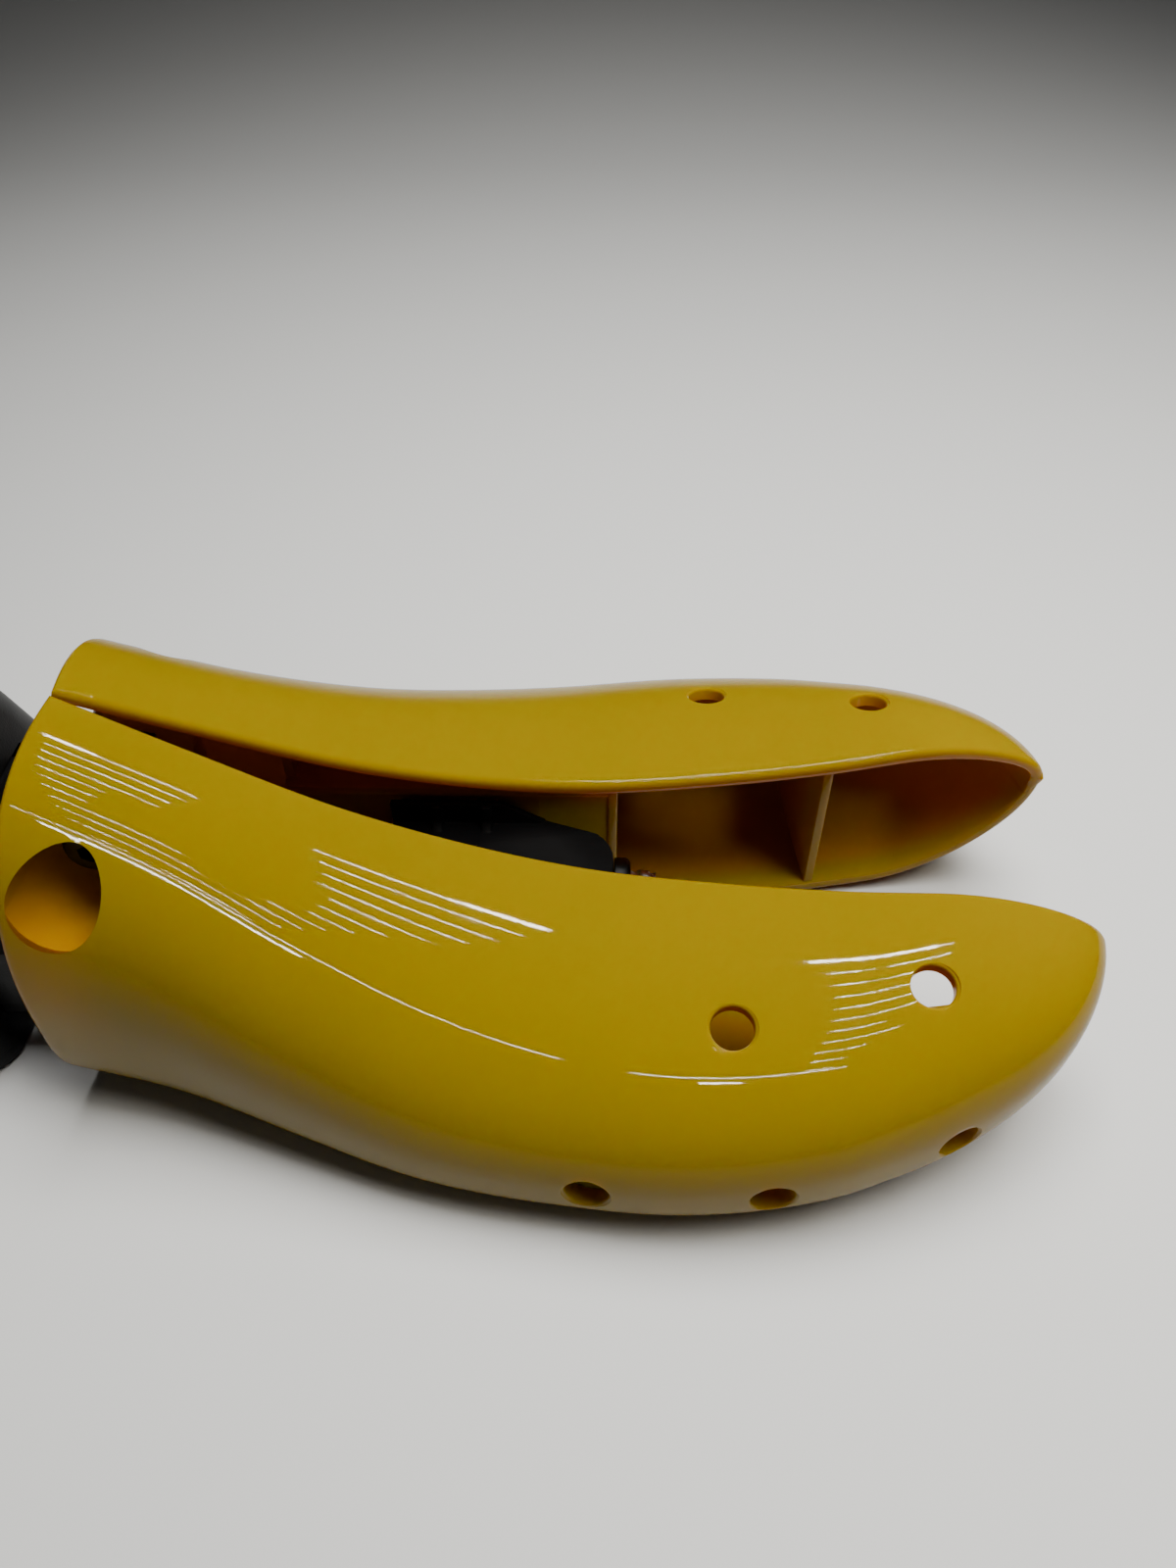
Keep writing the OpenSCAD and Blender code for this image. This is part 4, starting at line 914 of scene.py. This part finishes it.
(button_x0, button_x1), _, (_, button_top) = span("release_button")
latch_x = (button_x0 + button_x1) / 2
_, (latch_y0, latch_y1), (latch_z0, _) = span("latch_frame")
yoke_back, gap, shaft_x = span("core_frame")[0][0], 0.3, (latch_x - 2.8, latch_x + 2.8)
pockets = [
    ("pocket", (yoke_back - gap, heel_x + 3), (-22.5 - gap, 22.5 + gap), (9.7, 26.3), 0.6),
    ("pocket_top", (yoke_back - gap, heel_x + 3), (-12.7, 12.7), (10, 38.3), 0.6),
    ("bar_channel", (span("rack_bar")[0][0] - 1, heel_x + 1), (-7.3, 7.3), (25.7, 34.3), 0),
    ("latch_shaft", shaft_x, (latch_y0 - gap, latch_y1 + gap), (latch_z0 - 2.8, 40.1), 0),
    ("stem_shaft", shaft_x, (-3.3, 3.3), (36, 57), 0),
]
tunnel = round_bar("rod_tunnel", 3.7, span("threaded_rod")[0][0] - 34, heel_x + 1, rod_axis, (1, 0, 0), 48)
heel = cut(heel, *[box_piece(*pocket) for pocket in pockets[:3]], tunnel,
           *[box_piece(*pocket) for pocket in pockets[3:]])


def button_outline(length, width, round_r=3.0, steps=8):
    points = []
    for cx, cy, a0 in ((1, 1, 0), (-1, 1, 90), (-1, -1, 180), (1, -1, 270)):
        for k in range(steps + 1):
            a = math.radians(a0 + 90 * k / steps)
            points.append((latch_x + cx * (length / 2 - round_r) + round_r * math.cos(a),
                           cy * (width / 2 - round_r) + round_r * math.sin(a)))
    return points


heel = cut(heel, slab_piece("well", button_outline(16.6, 14.6), 48.0, 58.0, 0))
base_rear, base_front, base_w, base_t = heel_back + 6, span("heel_base")[0][1], 26.0, 2.4


def base_outline(gap_in):
    """Plan of the base: round at the back, straight across the front."""
    rear, w, points, steps = base_rear + gap_in, base_w - gap_in, [], 56
    for k in range(steps + 1):
        a = math.pi / 2 + math.pi * k / steps
        points.append((rear + w + w * math.cos(a), w * math.sin(a)))
    return points + [(base_front + 0.15 - gap_in, -w), (base_front + 0.15 - gap_in, w)]


heel = cut(heel, slab_piece("recess", base_outline(0.0), -1, base_t, 0))
heel.name = "heel_moulding"
dress(smooth_off(to_row(heel), 32), abs_black, "heel", "heel_block")

# The base plate: shallow grooves across it keep the heel from slipping in a shoe
base = slab_piece("heel_base_plate", base_outline(0.15), 0.0, base_t, 0.3)
for k in range(9):
    x = base_rear + 8 + k * 4.2
    half_span = math.sqrt(max(0, (base_w - 5) ** 2 - max(0, base_rear + base_w - x) ** 2))
    if half_span > 6 and x < base_front - 3:
        base = cut(base, box_piece("groove", (x - 0.6, x + 0.6), (-half_span, half_span), (-1, 0.4), 0))
heel_l = 54.4
sinks, heads = [], []
for x, y in ((heel_x - 0.515 * heel_l, 17.1), (heel_x - 0.77 * heel_l, 8.1)):
    for side in (-1, 1):
        spot, upside_down = (x, side * y, 0), Matrix.Rotation(math.pi, 4, "X")
        sinks.append(turned_piece("sink", [(0, -1), (2.9, -1), (2.9, 0.4), (1.5, 1.8), (1.5, 4), (0, 4)],
                                  spot, (0, 0, 1), 40))
        head = turned_piece("head", [
            (0, 0.3), (2.55, 0.3), (2.72, 0.42), (2.72, 0.52), (1.3, 1.95), (0, 1.95)],
            (0, 0, 0), (0, 0, 1), 40)
        head.data.transform(upside_down)
        head = recess(head, 2.8, 0.9, -0.3, (0, 0, 0), (0, 0, 1), cross=True)
        head.data.transform(Matrix.Translation(spot) @ upside_down)
        heads += [head, threaded("shank", 1.28, 1.1, 0.25, 1.9, 10.6, spot, (0, 0, 1))]
base = cut(base, join(sinks))
base.name = "heel_base_plate"
dress(smooth_off(to_row(base), 32), abs_black, "heel", "heel_base")
heel_screw_set = join(heads)
heel_screw_set.name = "base_screws"
dress(smooth_off(to_row(heel_screw_set), 32), zinc, "heel", "heel_screws")

# --- Release button and latch -----------------------------------------------------------
# A nylon button stands in a well on top of the heel, dished for the thumb and ribbed across.
# Its stem carries a frame round the bar, whose top edge drops out of the teeth when pressed.

z1, dish_r = button_top, 24
button = slab_piece("button", button_outline(16.0, 14.0), z1 - 7, z1, 0.6)
bowl = [(dish_r * math.sin(a), -dish_r * math.cos(a)) for a in (0, 0.06, 0.12, 0.18, 0.24, 0.3, 0.36)]
button = cut(button, turned_piece("dish", bowl + [(0, -22)], (latch_x, 0, z1 + 23), (0, 0, 1), 96))
for k in range(-2, 3):
    groove = turned_piece("groove", [(0, -4.6), (0.45, -4.6), (0.5, 0), (0.45, 4.6), (0, 4.6)],
                          (latch_x + k * 2.4, 0, z1 - 0.62 + 0.02 * k * k * 2.4), (0, 1, 0), 24)
    button = cut(button, groove)
button = cut(button,
             box_piece("socket", (latch_x - 2.52, latch_x + 2.52), (-3.02, 3.02), (z1 - 8, z1 - 2.4), 0),
             round_bar("pin_hole", 1.02, -9, 9, (latch_x, 0, z1 - 4.6), (0, 1, 0), 32))
button.name = "release_button_moulding"
dress(smooth_off(to_row(button), 32), nylon, "button", "release_button")
dress(from_cad("latch_frame_moulding", "latch_frame", 0.2), nylon, "button", "latch_frame")
_, (y0, y1), (z0, z1) = span("latch_pin")
pin = turned_piece("latch_pin_steel", [
    (0, y0 + 0.2), (0.3, y0), (0.75, y0), (1, y0 + 0.25), (1, y1 - 0.25), (0.75, y1), (0.3, y1),
    (0, y1 - 0.2)], (latch_x, 0, (z0 + z1) / 2), (0, 1, 0), 40)
dress(smooth_off(to_row(pin)), zinc, "button", "latch_pin")
spring_z = span("button_spring")[2][0] + 0.4
lift = wound("button_spring_wire", 5.3, 0.8, 1.3, 2, (latch_x, 0, spring_z), (0, 0, 1))
dress(smooth_off(to_row(lift), 50), spring_steel, "heel", "button_spring")

# --- Light ------------------------------------------------------------------------------
# A shop counter under rows of thin tube lamps, whose lines show in the gloss of the near half.
# Two broad soft lights do the rest and don't show in the gloss.


def area_light(name, place_at, aim, size, power, colour):
    light = bpy.data.lights.new(name, "AREA")
    light.shape, light.size, light.size_y = "RECTANGLE", size[0], size[1]
    light.energy, light.color = power, linear(colour)[:3]
    obj = bpy.data.objects.new(name, light)
    bpy.context.scene.collection.objects.link(obj)
    obj.location = place_at
    obj.rotation_euler = (Vector(aim) - Vector(place_at)).to_track_quat("-Z", "Y").to_euler()
    return obj


ceiling = area_light("ceiling", (0.13, 0.1, 0.6), (0.1, 0.0, 0), (0.42, 0.36), 3.5, "#fdfdfb")
front = area_light("front", (0.28, -0.07, 0.5), (0.1, 0.03, 0), (0.24, 0.24), 1.0, "#fffaf0")
for soft in (ceiling, front):
    soft.data.spread = math.radians(105)
    soft.visible_glossy = False

# Tubes under a ceiling that rises towards the camera: eleven thin rows, and three beside them
tubes, thin, broad = [], 0.0013, 0.005
for k in range(11):
    high = 0.55 + 0.04 * k
    end = 0.18 if k < 4 else 0.17 if k < 7 else 0.2
    tubes.append((0.1 + 0.006 * k, end, (0.42 - 0.08 * k) * high - 0.04, high + 0.03, thin))
tubes += [(-0.02, 0.165, -0.268, 0.6, thin), (0.04, 0.075, -0.3, 0.6, broad), (0.1, 0.135, 0.2, 0.6, broad)]
verts = []
for start, end, y, z, deep in tubes:
    verts += [(start, y - deep, z), (start, y + deep, z), (end, y + deep, z), (end, y - deep, z)]
diodes = new_object("diodes", verts, [(n, n + 1, n + 2, n + 3) for n in range(0, len(verts), 4)])
diodes.visible_diffuse = False
glow = new_material("diode_glow")
lamp = node(glow, "ShaderNodeEmission", Color=linear("#fff6e6"), Strength=220.0)
finish_material(glow, lamp.outputs["Emission"])
diodes.data.materials.append(glow)

world = bpy.data.worlds.new("studio")
bpy.context.scene.world = world
world.use_nodes = True
world.node_tree.nodes["Background"].inputs["Color"].default_value = linear("#dfe4ea")
world.node_tree.nodes["Background"].inputs["Strength"].default_value = 0.05
